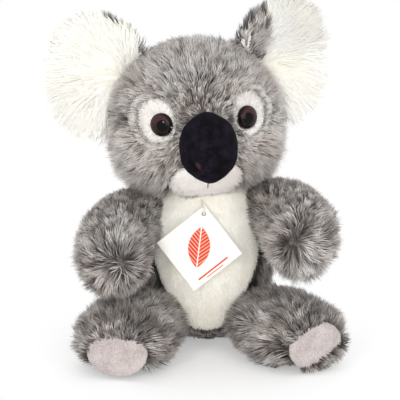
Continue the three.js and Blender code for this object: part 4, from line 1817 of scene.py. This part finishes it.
    def _chin_white(self, places: Array, normals: Array) -> Array:
        """Where the chin's white pile grows."""
        return self.proud(places) & (self._off_chin(places) < 1.0)

    def _chin_grey(self, places: Array, normals: Array) -> Array:
        """Where grey pile grows on the edge of the chin's panel."""
        return self.proud(places) & (self._off_chin(places) > 1.0)

    def _chin_tone(self, places: Array) -> Array:
        """The tone of the chin's white pile."""
        return self.fade(self._off_chin(places))

    def dress(self, covers: list[Ground]) -> None:
        """Grows the head's pile.

        Args:
            covers: the nose and torso, below which none shows.
        """
        self.covers = covers
        coat = Coat("head_pile", HEAD_PILE, GREY_PILE, "head", "grey_plush", 21)
        coat.grow(self.skin, self.flow, self._grey, self.shade, self.trim)
        for side in Side:
            EyePatch(side, self).dress()
        chin = Coat("chin_pile", CHIN_PILE, CHIN_PAINTED_LIGHT_PILE, "head", "white_plush", 27, contrast=0.1)
        down = Whorl(self.at(self.chin_whorl), near=20, far=50)
        chin.grow(self.chin, down, self._chin_white, self._chin_tone)
        fringe = Coat("chin_fringe_pile", FRINGE_PILE, GREY_PILE, "head", "grey_plush", 28)
        fringe.grow(self.chin, self.flow, self._chin_grey, self.shade, self.trim)


@dataclass
class EyePatch:
    """The white pile round one eye, and the grey pile beside it."""

    side: Side
    head: Head
    eye: Place = (25.0, -39.0, 2.8)
    bare: float = 6.0
    edge_trim: Ease = Ease(0.3, 0.55, 1.0)

    @property
    def middle(self) -> Place:
        """The eye's middle, in the toy's frame."""
        return self.head.at((self.side.value * self.eye[0], self.eye[1], self.eye[2]))

    def _off(self, places: Array) -> Array:
        """How many half sizes places are from the middle of the white pile."""
        return self.head.off_patch(self.head.own(places), self.side)

    def _white(self, places: Array, normals: Array) -> Array:
        """Where white pile grows: inside the oval, clear of the eye."""
        clear = np.linalg.norm(places - np.array(self.middle) * MM, axis=1) > self.bare * MM
        return self.head.proud(places) & clear & (self._off(places) < 1.0)

    def _grey(self, places: Array, normals: Array) -> Array:
        """Where grey pile grows on the edge of the panel."""
        return self.head.proud(places) & (self._off(places) > 1.0)

    def _tone(self, places: Array) -> Array:
        """The white pile's tone."""
        return self.head.fade(self._off(places))

    def _length(self, places: Array) -> Array:
        """Shorter white pile towards its edge."""
        return 1.0 - self.edge_trim.rising(self._off(places))

    def dress(self) -> None:
        """Grows both piles."""
        head, word, step = self.head, self.side.word, self.side.value
        ground, away = head.patches[self.side], Whorl(self.middle, near=40, far=80)
        names = f"{word}_eye_patch_pile", f"{word}_eye_fringe_pile"
        patch = Coat(names[0], PATCH_PILE, FACE_WHITE_PILE, "head", "white_plush", 23 + step, contrast=0.1)
        patch.grow(ground, away, self._white, self._tone, self._length)
        fringe = Coat(names[1], FRINGE_PILE, GREY_PILE, "head", "grey_plush", 33 + step)
        fringe.grow(ground, head.flow, self._grey, head.shade, head.trim)


@dataclass
class Nose:
    """The velour nose with its stuffing, and the mouth's stitch."""

    middle: tuple[float, float] = (0.0, -11.5)
    half_height: float = 21.5
    rises: tuple[float, ...] = (-1.0, -0.84, -0.61, -0.39, -0.17, 0.1, 0.6, 0.76, 0.87, 1.0)
    widths: tuple[float, ...] = (0.72, 0.94, 1.03, 1.04, 1.0, 0.99, 0.98, 0.93, 0.81, 0.74)
    thread_voxel: float = 0.15
    cover: Ground = field(init=False)

    def _pinch(self, cover: bpy.types.Object, head: Head) -> None:
        """Sews the nose narrower towards its top and to a point at its bottom.

        Args:
            cover: the cast of the whole nose.
            head: the head that carries it.
        """
        cover.data.transform(head.frame.inverted())
        points = Workshop.points(cover.data)
        rise = (points[:, 2] / MM - self.middle[1]) / self.half_height
        middle = self.middle[0] * MM
        points[:, 0] = middle + (points[:, 0] - middle) * np.interp(rise, self.rises, self.widths)
        Workshop.move(cover.data, points)
        cover.data.transform(head.frame)
        cover.data.update()

    def build(self, head: Head) -> None:
        """Casts the nose and sews the mouth.

        Args:
            head: the head that carries them.
        """
        stuff("nose_stuffing", "nose_fill", "head", NOSE_STUFFING_CAST)
        nodes = ("nose_cover", "nose_fill")
        cover = Stuffed("nose_velour_cover", nodes, "head", "nose_velour", NOSE_VELOUR, NOSE_CAST).build()
        self._pinch(cover, head)
        self.cover = Ground(cover)
        thread = Workshop.copies(("mouth_stitch",), "mouth_thread")
        Workshop.finish_with(thread, "REMESH", mode="VOXEL", voxel_size=self.thread_voxel * MM)
        Workshop.finish_with(thread, "SMOOTH", factor=0.5, iterations=4)
        thread.data.shade_smooth()
        Workshop.settle(thread, "mouth_thread")
        Workshop.hand_over(thread, "head", "mouth_thread", DARK_THREAD, "mouth_stitch")


@dataclass
class Eyes:
    """Two domed safety eyes and their washers."""

    radius: float = 7.0
    dome: float = 5.2
    edge: float = 1.2
    sink: float = 1.5
    shank_share: float = 0.28
    shank_length: float = 10.0
    turn: float = 34.0
    middle: Place = (25.0, -38.93, 2.8)
    gaze: float = 0.34

    def build(self, head: Head) -> None:
        """Models each eye and sets it in the face.

        Args:
            head: the head that carries them.
        """
        for side in Side:
            middle = (side.value * self.middle[0], self.middle[1], self.middle[2])
            place = Matrix.Translation(Vector(middle) * MM)
            turn = Matrix.Rotation(math.radians(side.value * self.turn), 4, "Z")
            stand = head.frame @ place @ turn @ Matrix.Rotation(math.radians(90), 4, "X")
            piece = self._model()
            self._mark_rings(piece.data, side)
            Workshop.smooth_by_angle(piece)
            Workshop.settle(piece, f"{side.word}_eye_dome", stand)
            Workshop.hand_over(piece, "head", "eye_plastic", BROWN_EYE, f"{side.word}_eye")
            Workshop.refinish(f"{side.word}_eye_washer", WASHER_PLASTIC)

    def _model(self) -> bpy.types.Object:
        """Turns a sphere into a low dome on a shank.

        Returns:
            The eye, facing up.
        """
        Workshop.clear()
        bpy.ops.mesh.primitive_uv_sphere_add(segments=48, ring_count=32, radius=self.radius * MM)
        piece = bpy.context.object
        share = self.shank_share
        with Workshop.editing(piece):
            bpy.ops.mesh.bisect(plane_co=(0, 0, 0), plane_no=(0, 0, 1), clear_inner=True)
            bpy.ops.mesh.select_all(action="SELECT")
            bpy.ops.transform.resize(value=(1, 1, (self.dome - self.edge) / self.radius))
            bpy.ops.transform.translate(value=(0, 0, (self.edge - self.sink) * MM))
            bpy.ops.mesh.select_all(action="DESELECT")
            bpy.ops.mesh.select_mode(type="EDGE")
            bpy.ops.mesh.select_non_manifold()
            bpy.ops.mesh.extrude_region_move(TRANSFORM_OT_translate={"value": (0, 0, -self.edge * MM)})
            bpy.ops.mesh.extrude_region_move()
            bpy.ops.transform.resize(value=(share, share, 1), center_override=(0, 0, 0))
            drop = (0, 0, -self.shank_length * MM)
            bpy.ops.mesh.extrude_region_move(TRANSFORM_OT_translate={"value": drop})
            bpy.ops.mesh.edge_face_add()
            bpy.ops.mesh.select_mode(type="VERT")
            bpy.ops.mesh.select_all(action="SELECT")
            bpy.ops.mesh.normals_make_consistent(inside=False)
        return piece

    def _mark_rings(self, mesh: bpy.types.Mesh, side: Side) -> None:
        """Marks the pupil, which looks towards the nose, and the rim.

        Args:
            mesh: the eye's mesh.
            side: which eye it is.
        """
        points = Workshop.points(mesh) / (self.radius * MM)
        top = points[:, 2] * self.radius > self.edge - self.sink - 0.01
        inward = points[:, 0] + side.value * self.gaze
        Workshop.mark(mesh, "rim", np.where(top, np.hypot(points[:, 0], points[:, 1]), 1.0))
        Workshop.mark(mesh, "pupil", np.where(top, np.hypot(inward, points[:, 1]), 1.0))
        Workshop.mark(mesh, "east", points[:, 0])
        Workshop.mark(mesh, "north", points[:, 1])


@dataclass
class Ear:
    """One ear of two layers: long white pile before, grey behind.

    The grey edge is how far in from the ear's middle the grey corner beside the head begins.
    """

    side: Side
    head: Head
    grey_edge: float
    grey_slope: float = 0.12
    middle: Place = (55.5, 13.0, 28.5)
    sweep: float = 25.0
    half: tuple[float, float] = (32.0, 36.0)
    fan_middle: float = 0.75
    fan_height: float = 1.15
    fan_forward: float = -6.0
    lobe_line: float = -2.0
    lobe_gap: float = 9.0
    outer_turn: float = -0.25
    fold_shadow: Ease = Ease(0.4, 0, 25)
    fold_width: float = 4.0
    edge_trim: Ease = Ease(0.3, 0.65, 1.0)
    front: Ground = field(init=False)
    back: Ground = field(init=False)

    @property
    def stand(self) -> Matrix:
        """The ear's own frame.

        Returns:
            Its place and turn, in metres.
        """
        sign = self.side.value
        place = Matrix.Translation(Vector((sign * self.middle[0], *self.middle[1:])) * MM)
        return self.head.frame @ place @ Matrix.Rotation(math.radians(sign * self.sweep), 4, "Z")

    def _own(self, places: Array) -> Array:
        """Places in the ear's own frame, with X away from the head."""
        return own_places(self.stand, places) * np.array([self.side.value, 1, 1])

    def _flow(self, places: Array, normals: Array) -> Array:
        """The way the pile lies: fanned out from the root, with a parting between the two lobes.

        Args:
            places: the roots.
            normals: the cloth's normals there.

        Returns:
            Directions along the cloth.
        """
        mine = self._own(places)
        lobe = np.where(mine[:, 2] > self.lobe_line, self.lobe_gap, -self.lobe_gap)
        x = mine[:, 0] + self.half[0] * self.fan_middle
        forward = np.full_like(x, self.fan_forward)
        out = np.stack([x * self.side.value, forward, mine[:, 2] * self.fan_height + lobe], 1)
        return along_face(out @ np.array(self.stand.to_3x3()).T, normals)

    def _facing(self, normals: Array, way: float) -> Array:
        """Which normals face the ear's front, for a way of -1, or its back, for 1."""
        return way * (normals @ np.array(self.stand.to_3x3())[:, 1]) > self.outer_turn

    def _corner(self, places: Array) -> Array:
        """Which places are in the grey corner beside the head."""
        mine = self._own(places)
        return (mine[:, 0] < self.grey_edge + self.grey_slope * mine[:, 2]) & (mine[:, 2] > 0)

    def _white(self, places: Array, normals: Array) -> Array:
        """Where long white pile grows."""
        kept = self._facing(normals, -1) & ~self._corner(places)
        return keep_clear(keep_clear(kept, places, 0.0, self.head.skin), places, TOUCHING, self.back)

    def _fold(self, places: Array, normals: Array) -> Array:
        """Where grey pile grows on the front."""
        return keep_clear(self._facing(normals, -1) & self._corner(places), places, 0.0, self.head.skin)

    def _grey(self, places: Array, normals: Array) -> Array:
        """Where grey pile grows on the back."""
        return keep_clear(self._facing(normals, 1), places, 0.0, self.head.skin)

    def _shadow(self, places: Array) -> Array:
        """Darker pile in the parting."""
        mine = self._own(places)
        return -self.fold_shadow.falling(mine[:, 0]) * bell(mine[:, 2], self.lobe_line, self.fold_width)

    def _length(self, places: Array) -> Array:
        """Shorter pile towards the ear's edge."""
        mine = self._own(places)
        return 1 - self.edge_trim.rising(np.hypot(mine[:, 0] / self.half[0], mine[:, 2] / self.half[1]))

    def build(self) -> None:
        """Casts both layers and grows their pile."""
        body, slot = f"{self.side.word}_ear", "grey_plush"
        cloths = [
            Stuffed(f"{body}_{layer}_backing", (f"{body}_{layer}",), body, cloth, finish, EAR_CAST)
            for layer, cloth, finish in (
                ("front", "long_white_plush", PALE_BACKING),
                ("back", slot, GREY_BACKING),
            )
        ]
        self.front, self.back = (Ground(cloth.build()) for cloth in cloths)
        seed = 40 + self.side.value * 4
        names = [f"{body}_{word}_pile" for word in ("white", "fold", "grey")]
        long = Coat(names[0], EAR_PILE, LONG_WHITE_PILE, body, "long_white_plush", seed, 0.1, 0.06, 0.9)
        long.grow(self.front, self._flow, self._white, self._shadow, self._length)
        fold = Coat(names[1], EAR_BACK_PILE, GREY_PILE, body, slot, seed + 1)
        fold.grow(self.front, self._flow, self._fold, trim=self._length)
        behind = Coat(names[2], EAR_BACK_PILE, GREY_PILE, body, slot, seed + 2)
        behind.grow(self.back, self._flow, self._grey, trim=self._length)


@dataclass
class Limb:
    """An arm: backing, stuffing and pile that lies away from a whorl at its end."""

    name: str
    whorl: Place
    root: Place
    seed: int
    whorl_dark: float = 0.25
    whorl_reach: float = 9.0
    # Painted shade in the nook where the limb meets the body.
    root_dark: float = 0.25
    root_reach: float = 28.0
    top_trim: Ease = Ease(0.35, 4, 20)
    contrast: float = 0.38
    skin: Ground = field(init=False)
    covers: list[Ground] = field(init=False)

    @property
    def lie(self) -> Whorl:
        """The way the pile lies."""
        return Whorl(self.whorl, near=80, far=140)

    @property
    def inlays(self) -> tuple[str, ...]:
        """The CAD nodes that are let into the skin."""
        return ()

    def build(self) -> None:
        """Casts the stuffing and the skin."""
        name = self.name
        stuff(f"{name}_stuffing", f"{name}_fill", name, LIMB_STUFFING_CAST)
        nodes = (f"{name}_skin", f"{name}_fill", *self.inlays)
        self.skin = Ground(Stuffed(f"{name}_backing", nodes, name, "grey_plush", GREY_BACKING).build())

    def _grey(self, places: Array, normals: Array) -> Array:
        """Where pile grows."""
        return keep_clear(everywhere(places), places, 0.0, *self.covers)

    def _tone(self, places: Array) -> Array:
        """Darker pile at the whorl, and painted shade in the nook at the limb's root.

        Args:
            places: the roots.

        Returns:
            How much lighter the pile is.
        """
        whorl = np.linalg.norm(places - np.array(self.whorl) * MM, axis=1) / MM
        root = np.linalg.norm(places - np.array(self.root) * MM, axis=1) / MM
        nook = self.root_dark * bell(root, 0.0, self.root_reach)
        return -self.whorl_dark * bell(whorl, 0.0, self.whorl_reach) - nook

    def _length(self, places: Array) -> Array:
        """Shorter pile above the whorl."""
        return 1.0 - self.top_trim.rising(places[:, 2] / MM - self.whorl[2])

    def dress(self, covers: list[Ground]) -> None:
        """Grows the pile.

        Args:
            covers: the forms in which no pile grows.
        """
        self.covers, name = covers, self.name
        coat = Coat(f"{name}_pile", LIMB_PILE, GREY_PILE, name, "grey_plush", self.seed, self.contrast)
        coat.grow(self.skin, self.lie, self._grey, self._tone, self._length)


@dataclass(frozen=True)
class BareSole:
    """The oval of a sole that no pile covers, as the front shows it."""

    x: float
    z: float
    half_width: float
    half_height: float
    tilt: float
    below: float
    squareness: float = 2.4

    def off(self, places: Array) -> Array:
        """How many half sizes places are from the oval's middle.

        Args:
            places: points, one a row.

        Returns:
            Below 1 on the bare suede.
        """
        across, rise = places[:, 0] / MM - self.x, places[:, 2] / MM - self.z
        turn, power = math.radians(self.tilt), self.squareness
        long = (across * math.cos(turn) + rise * math.sin(turn)) / self.half_width
        short = (rise * math.cos(turn) - across * math.sin(turn)) / self.half_height
        short = np.where(short < 0, short / self.below, short)
        ragged = 0.05 * clouds(places, 3 * MM, 72)
        return (np.abs(long) ** power + np.abs(short) ** power) ** (1 / power) + ragged


@dataclass
class Leg(Limb):
    """A leg, with a suede sole let into its end."""

    bare_sole: BareSole = field(kw_only=True)
    # Deeper painted shade in the nook at the leg's root.
    root_dark: float = 0.42
    front: float = -50.0
    under: float = 9.0
    under_share: float = 1.15
    rim_shade: tuple[float, float, float] = (0.3, 1.3, 0.35)
    fringe_foot: float = 3.5
    fringe_trim: Ease = Ease(0.5, 4, 16)
    sole: Ground = field(init=False)

    @property
    def inlays(self) -> tuple[str, ...]:
        """The sole's node."""
        return (f"{self.name.split('_')[0]}_sole",)

    def build(self) -> None:
        """Casts the leg and its sole."""
        super().build()
        name = f"{self.inlays[0]}_suede"
        self.sole = Ground(Stuffed(name, self.inlays, self.name, "sole_suede", SUEDE, SOLE_CAST).build())

    def _grey(self, places: Array, normals: Array) -> Array:
        """Where pile grows: off the sole, and not below its bare oval.

        Args:
            places: the roots.
            normals: the cloth's normals there.

        Returns:
            Which roots are kept.
        """
        kept = keep_clear(super()._grey(places, normals), places, SOLE_REACH, self.sole)
        under = (places[:, 2] < self.under * MM) & (places[:, 1] < self.front * MM)
        return kept & ~(under & (self.bare_sole.off(places) < self.under_share))

    def _tone(self, places: Array) -> Array:
        """Darker pile round the sole too.

        Args:
            places: the roots.

        Returns:
            How much lighter the pile is.
        """
        dark, ring, spread = self.rim_shade
        rim = dark * bell(self.bare_sole.off(places), ring, spread) * (places[:, 1] < self.front * MM)
        return super()._tone(places) - rim

    def _length(self, places: Array) -> Array:
        """The whole length everywhere."""
        return np.ones(len(places))

    def _fringe(self, places: Array, normals: Array) -> Array:
        """Where pile grows on the sole's edge."""
        outer = (self.bare_sole.off(places) > 1.0) & (places[:, 2] > self.fringe_foot * MM)
        return keep_clear(outer, places, TOUCHING, self.skin)

    def _fringe_length(self, places: Array) -> Array:
        """Shorter pile near the ground."""
        return 1 - self.fringe_trim.falling(places[:, 2] / MM)

    def dress(self, covers: list[Ground]) -> None:
        """Grows the pile of the leg and the fringe above the sole.

        Args:
            covers: the forms in which no pile grows.
        """
        super().dress(covers)
        name = self.name
        fringe = Coat(f"{name}_fringe_pile", SOLE_PILE, GREY_PILE, name, "grey_plush", self.seed + 9)
        fringe.grow(self.sole, self.lie, self._fringe, self._tone, self._fringe_length)


@dataclass
class Tag:
    """The hang tag and its loop."""

    side: float = 36.5
    thickness: float = 0.8
    bevel: float = 0.12
    hole: float = 1.5
    inset: float = 3.6
    lean: float = 12.0
    twist: float = 38.0

    def build(self) -> None:
        """Cuts and prints the card, sets it in place and finishes the loop."""
        card = self._card()
        self._print(card.data)
        low, high = (Vector(corner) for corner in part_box("tag_card"))
        lean = Matrix.Rotation(math.radians(90 - self.lean), 4, "X")
        twist = Matrix.Rotation(math.radians(self.twist), 4, "Z")
        Workshop.smooth_by_angle(card)
        Workshop.settle(card, "printed_card", Matrix.Translation((low + high) / 2) @ lean @ twist)
        Workshop.hand_over(card, "tag", "tag_card", TAG_CARD, "tag_card")
        Workshop.refinish("tag_loop", LOOP_PLASTIC)

    def _card(self) -> bpy.types.Object:
        """Cuts a square of card, rounds its edges and punches its corner.

        Returns:
            The card, lying flat.
        """
        Workshop.clear()
        bpy.ops.mesh.primitive_cube_add(size=1.0)
        card = bpy.context.object
        with Workshop.editing(card):
            bpy.ops.transform.resize(value=(self.side * MM, self.side * MM, self.thickness * MM))
            bpy.ops.mesh.bevel(offset=self.bevel * MM, segments=2)
        Workshop.clear()
        corner = (self.side / 2 - self.inset) * MM
        bpy.ops.mesh.primitive_cylinder_add(
            vertices=32, radius=self.hole * MM, depth=6 * MM, location=(corner, corner, 0)
        )
        punch = bpy.context.object
        Workshop.finish_with(card, "BOOLEAN", operation="DIFFERENCE", object=punch, solver="EXACT")
        bpy.data.objects.remove(punch)
        return card

    @staticmethod
    def _print(mesh: bpy.types.Mesh) -> None:
        """Marks the printed face and lays the print's map on it.

        Args:
            mesh: the card's mesh, lying flat.
        """
        points = Workshop.points(mesh) / MM
        Workshop.mark(mesh, "printed", points[:, 2] > 0)
        corners = np.empty(len(mesh.loops), dtype=np.int32)
        mesh.loops.foreach_get("vertex_index", corners)
        places = points[corners, :2] / TAG_CARD.map_side + 0.5
        mesh.uv_layers.new(name="print").data.foreach_set("uv", places.astype(np.float32).ravel())


@dataclass(frozen=True)
class Lamp:
    """One soft square lamp, aimed at the toy, in metres and watts."""

    name: str
    place: Place
    size: float
    power: float
    aim: Place = (0.0, 0.0, 0.1)

    def build(self) -> None:
        """Hangs the lamp."""
        lamp = bpy.data.lights.new(self.name, "AREA")
        lamp.size, lamp.energy = self.size, self.power
        stand = Workshop.link(self.name, lamp)
        stand.location = self.place
        away = Vector(self.place) - Vector(self.aim)
        stand.rotation_euler = away.to_track_quat("Z", "Y").to_euler()


@dataclass
class Studio:
    """Pale floor, plain soft light and the camera at the photograph's angle."""

    target: Place = (-3.7, 0.0, 88.5)
    elevation: float = 12.0
    distance: float = 1100.0
    frame_width: float = 248.0
    sensor: float = 36.0
    sky: float = 0.72
    floor_radius: float = 12.0
    floor_glow: float = 0.12
    shadow_middle: Place = (0.0, -32.0, 0.0)
    shadow_edge: tuple[float, float] = (0.108, 0.075)
    shadow_share: float = 0.75
    lamps: tuple[Lamp, ...] = (
        Lamp("key_light", (0.4, -1.45, 0.4), size=1.2, power=11.0),
        Lamp("sparkle_light", (-0.42, -1.2, 0.45), size=0.2, power=4.1),
        Lamp("back_light", (0.2, 1.4, 0.75), size=1.0, power=8.0),
    )

    def build(self) -> None:
        """Sets up the camera, the floor, the sky and the lamps."""
        self._camera()
        self._floor()
        self._sky()
        for lamp in self.lamps:
            lamp.build()

    def _camera(self) -> None:
        """The camera, aimed at the middle of the toy."""
        lens = bpy.data.cameras.new("camera")
        lens.sensor_width = self.sensor
        lens.lens = self.sensor * self.distance / self.frame_width
        lens.clip_start, lens.clip_end = 0.05, 20
        camera = Workshop.link("camera", lens)
        rise = math.radians(self.elevation)
        away = Vector((0, -math.cos(rise), math.sin(rise)))
        camera.location = Vector(self.target) * MM + away * self.distance * MM
        camera.rotation_euler = away.to_track_quat("Z", "Y").to_euler()
        bpy.context.scene.camera = camera

    def _floor(self) -> None:
        """A white floor that keeps the toy's shadow near it and fades to plain white."""
        Workshop.clear()
        bpy.ops.mesh.primitive_circle_add(vertices=96, radius=self.floor_radius, fill_type="NGON")
        floor = bpy.context.object
        floor.name = "floor"
        bench, white = Bench("floor_white"), shade_of("ffffff")
        spans = {0: bench.place(), 1: Vector(self.shadow_middle) * MM}
        reach = bench.node("ShaderNodeVectorMath", {"operation": "DISTANCE"}, spans, out="Value")
        near = reach.under(*self.shadow_edge)
        glow = bench.node("ShaderNodeEmission", {}, {"Color": white, "Strength": 1.0})
        bench.dress(
            Base_Color=white,
            Emission_Color=white,
            Emission_Strength=self.floor_glow,
            Roughness=0.9,
            Specular_IOR_Level=0.0,
        )
        share = Wire(bench, self._seen(bench.tree)) * (1 - near * self.shadow_share)
        lit = Wire(bench, bench.shader.outputs[0])
        mixed = bench.node("ShaderNodeMixShader", {}, {0: share, 1: lit, 2: glow})
        bench.tree.links.new(mixed.socket, bench.tree.nodes["Material Output"].inputs["Surface"])
        floor.data.materials.append(bench.material)

    @staticmethod
    def _seen(tree: bpy.types.NodeTree) -> bpy.types.NodeSocket:
        """1 for rays from the camera, straight, mirrored or through clear parts.

        Args:
            tree: the node tree that it is added to.

        Returns:
            The mask.
        """
        rays = tree.nodes.new("ShaderNodeLightPath")
        total = rays.outputs["Is Camera Ray"]
        for word in ("Is Glossy Ray", "Is Transmission Ray"):
            joined = tree.nodes.new("ShaderNodeMath")
            joined.operation = "MAXIMUM"
            tree.links.new(total, joined.inputs[0])
            tree.links.new(rays.outputs[word], joined.inputs[1])
            total = joined.outputs[0]
        return total

    def _sky(self) -> None:
        """An even sky that lights softly and is white where the camera sees it."""
        world = bpy.data.worlds.new("sky")
        bpy.context.scene.world = world
        world.use_nodes = True
        tree = world.node_tree
        seen = tree.nodes.new("ShaderNodeMath")
        seen.operation = "MULTIPLY_ADD"
        seen.inputs[1].default_value = 1 - self.sky
        seen.inputs[2].default_value = self.sky
        tree.links.new(self._seen(tree), seen.inputs[0])
        tree.nodes["Background"].inputs["Color"].default_value = (1, 1, 1, 1)
        tree.links.new(seen.outputs[0], tree.nodes["Background"].inputs["Strength"])


def main() -> None:
    """Builds the toy and its studio."""
    logging.basicConfig(level=logging.INFO, format="%(name)s: %(message)s")
    bpy.context.scene.view_settings.view_transform = "Standard"
    Studio().build()
    torso, head, nose = Torso(), Head(), Nose()
    left_sole = BareSole(x=62.0, z=17.8, half_width=19.5, half_height=8.8, tilt=27.0, below=1.1)
    right_sole = BareSole(x=-49.6, z=14.0, half_width=18.5, half_height=11.3, tilt=-6.0, below=1.67)
    limbs = [
        Limb("left_arm", (49.0, -82.0, 79.0), (37.0, -3.0, 83.0), 51),
        Limb("right_arm", (-46.6, -86.0, 67.5), (-37.0, -3.0, 78.5), 52),
        Leg("left_leg", (61.5, -80.0, 18.0), (33.0, -23.0, 21.0), 53, bare_sole=left_sole),
        Leg("right_leg", (-49.6, -95.0, 15.0), (-33.0, -23.0, 21.0), 54, bare_sole=right_sole),
    ]
    torso.build()
    stuff("neck_pad", "neck_fill", "neck", NECK_STUFFING_CAST)
    head.build()
    nose.build(head)
    Eyes().build(head)
    for limb in limbs:
        limb.build()
    torso.dress([head.skin, *(limb.skin for limb in limbs)])
    head.dress([nose.cover, torso.skin])
    Ear(Side.LEFT, head, grey_edge=-15.0).build()
    Ear(Side.RIGHT, head, grey_edge=-28.0).build()
    for limb in limbs:
        limb.dress([torso.skin])
    Tag().build()
    Workshop.refinish("closing_stitch", LINEN_THREAD)
    meshes = [piece.data for piece in bpy.data.objects if piece.type == "MESH"]
    LOG.info("%d triangles in all", sum(len(mesh.loops) - 2 * len(mesh.polygons) for mesh in meshes))


if __name__ == "__main__":
    main()
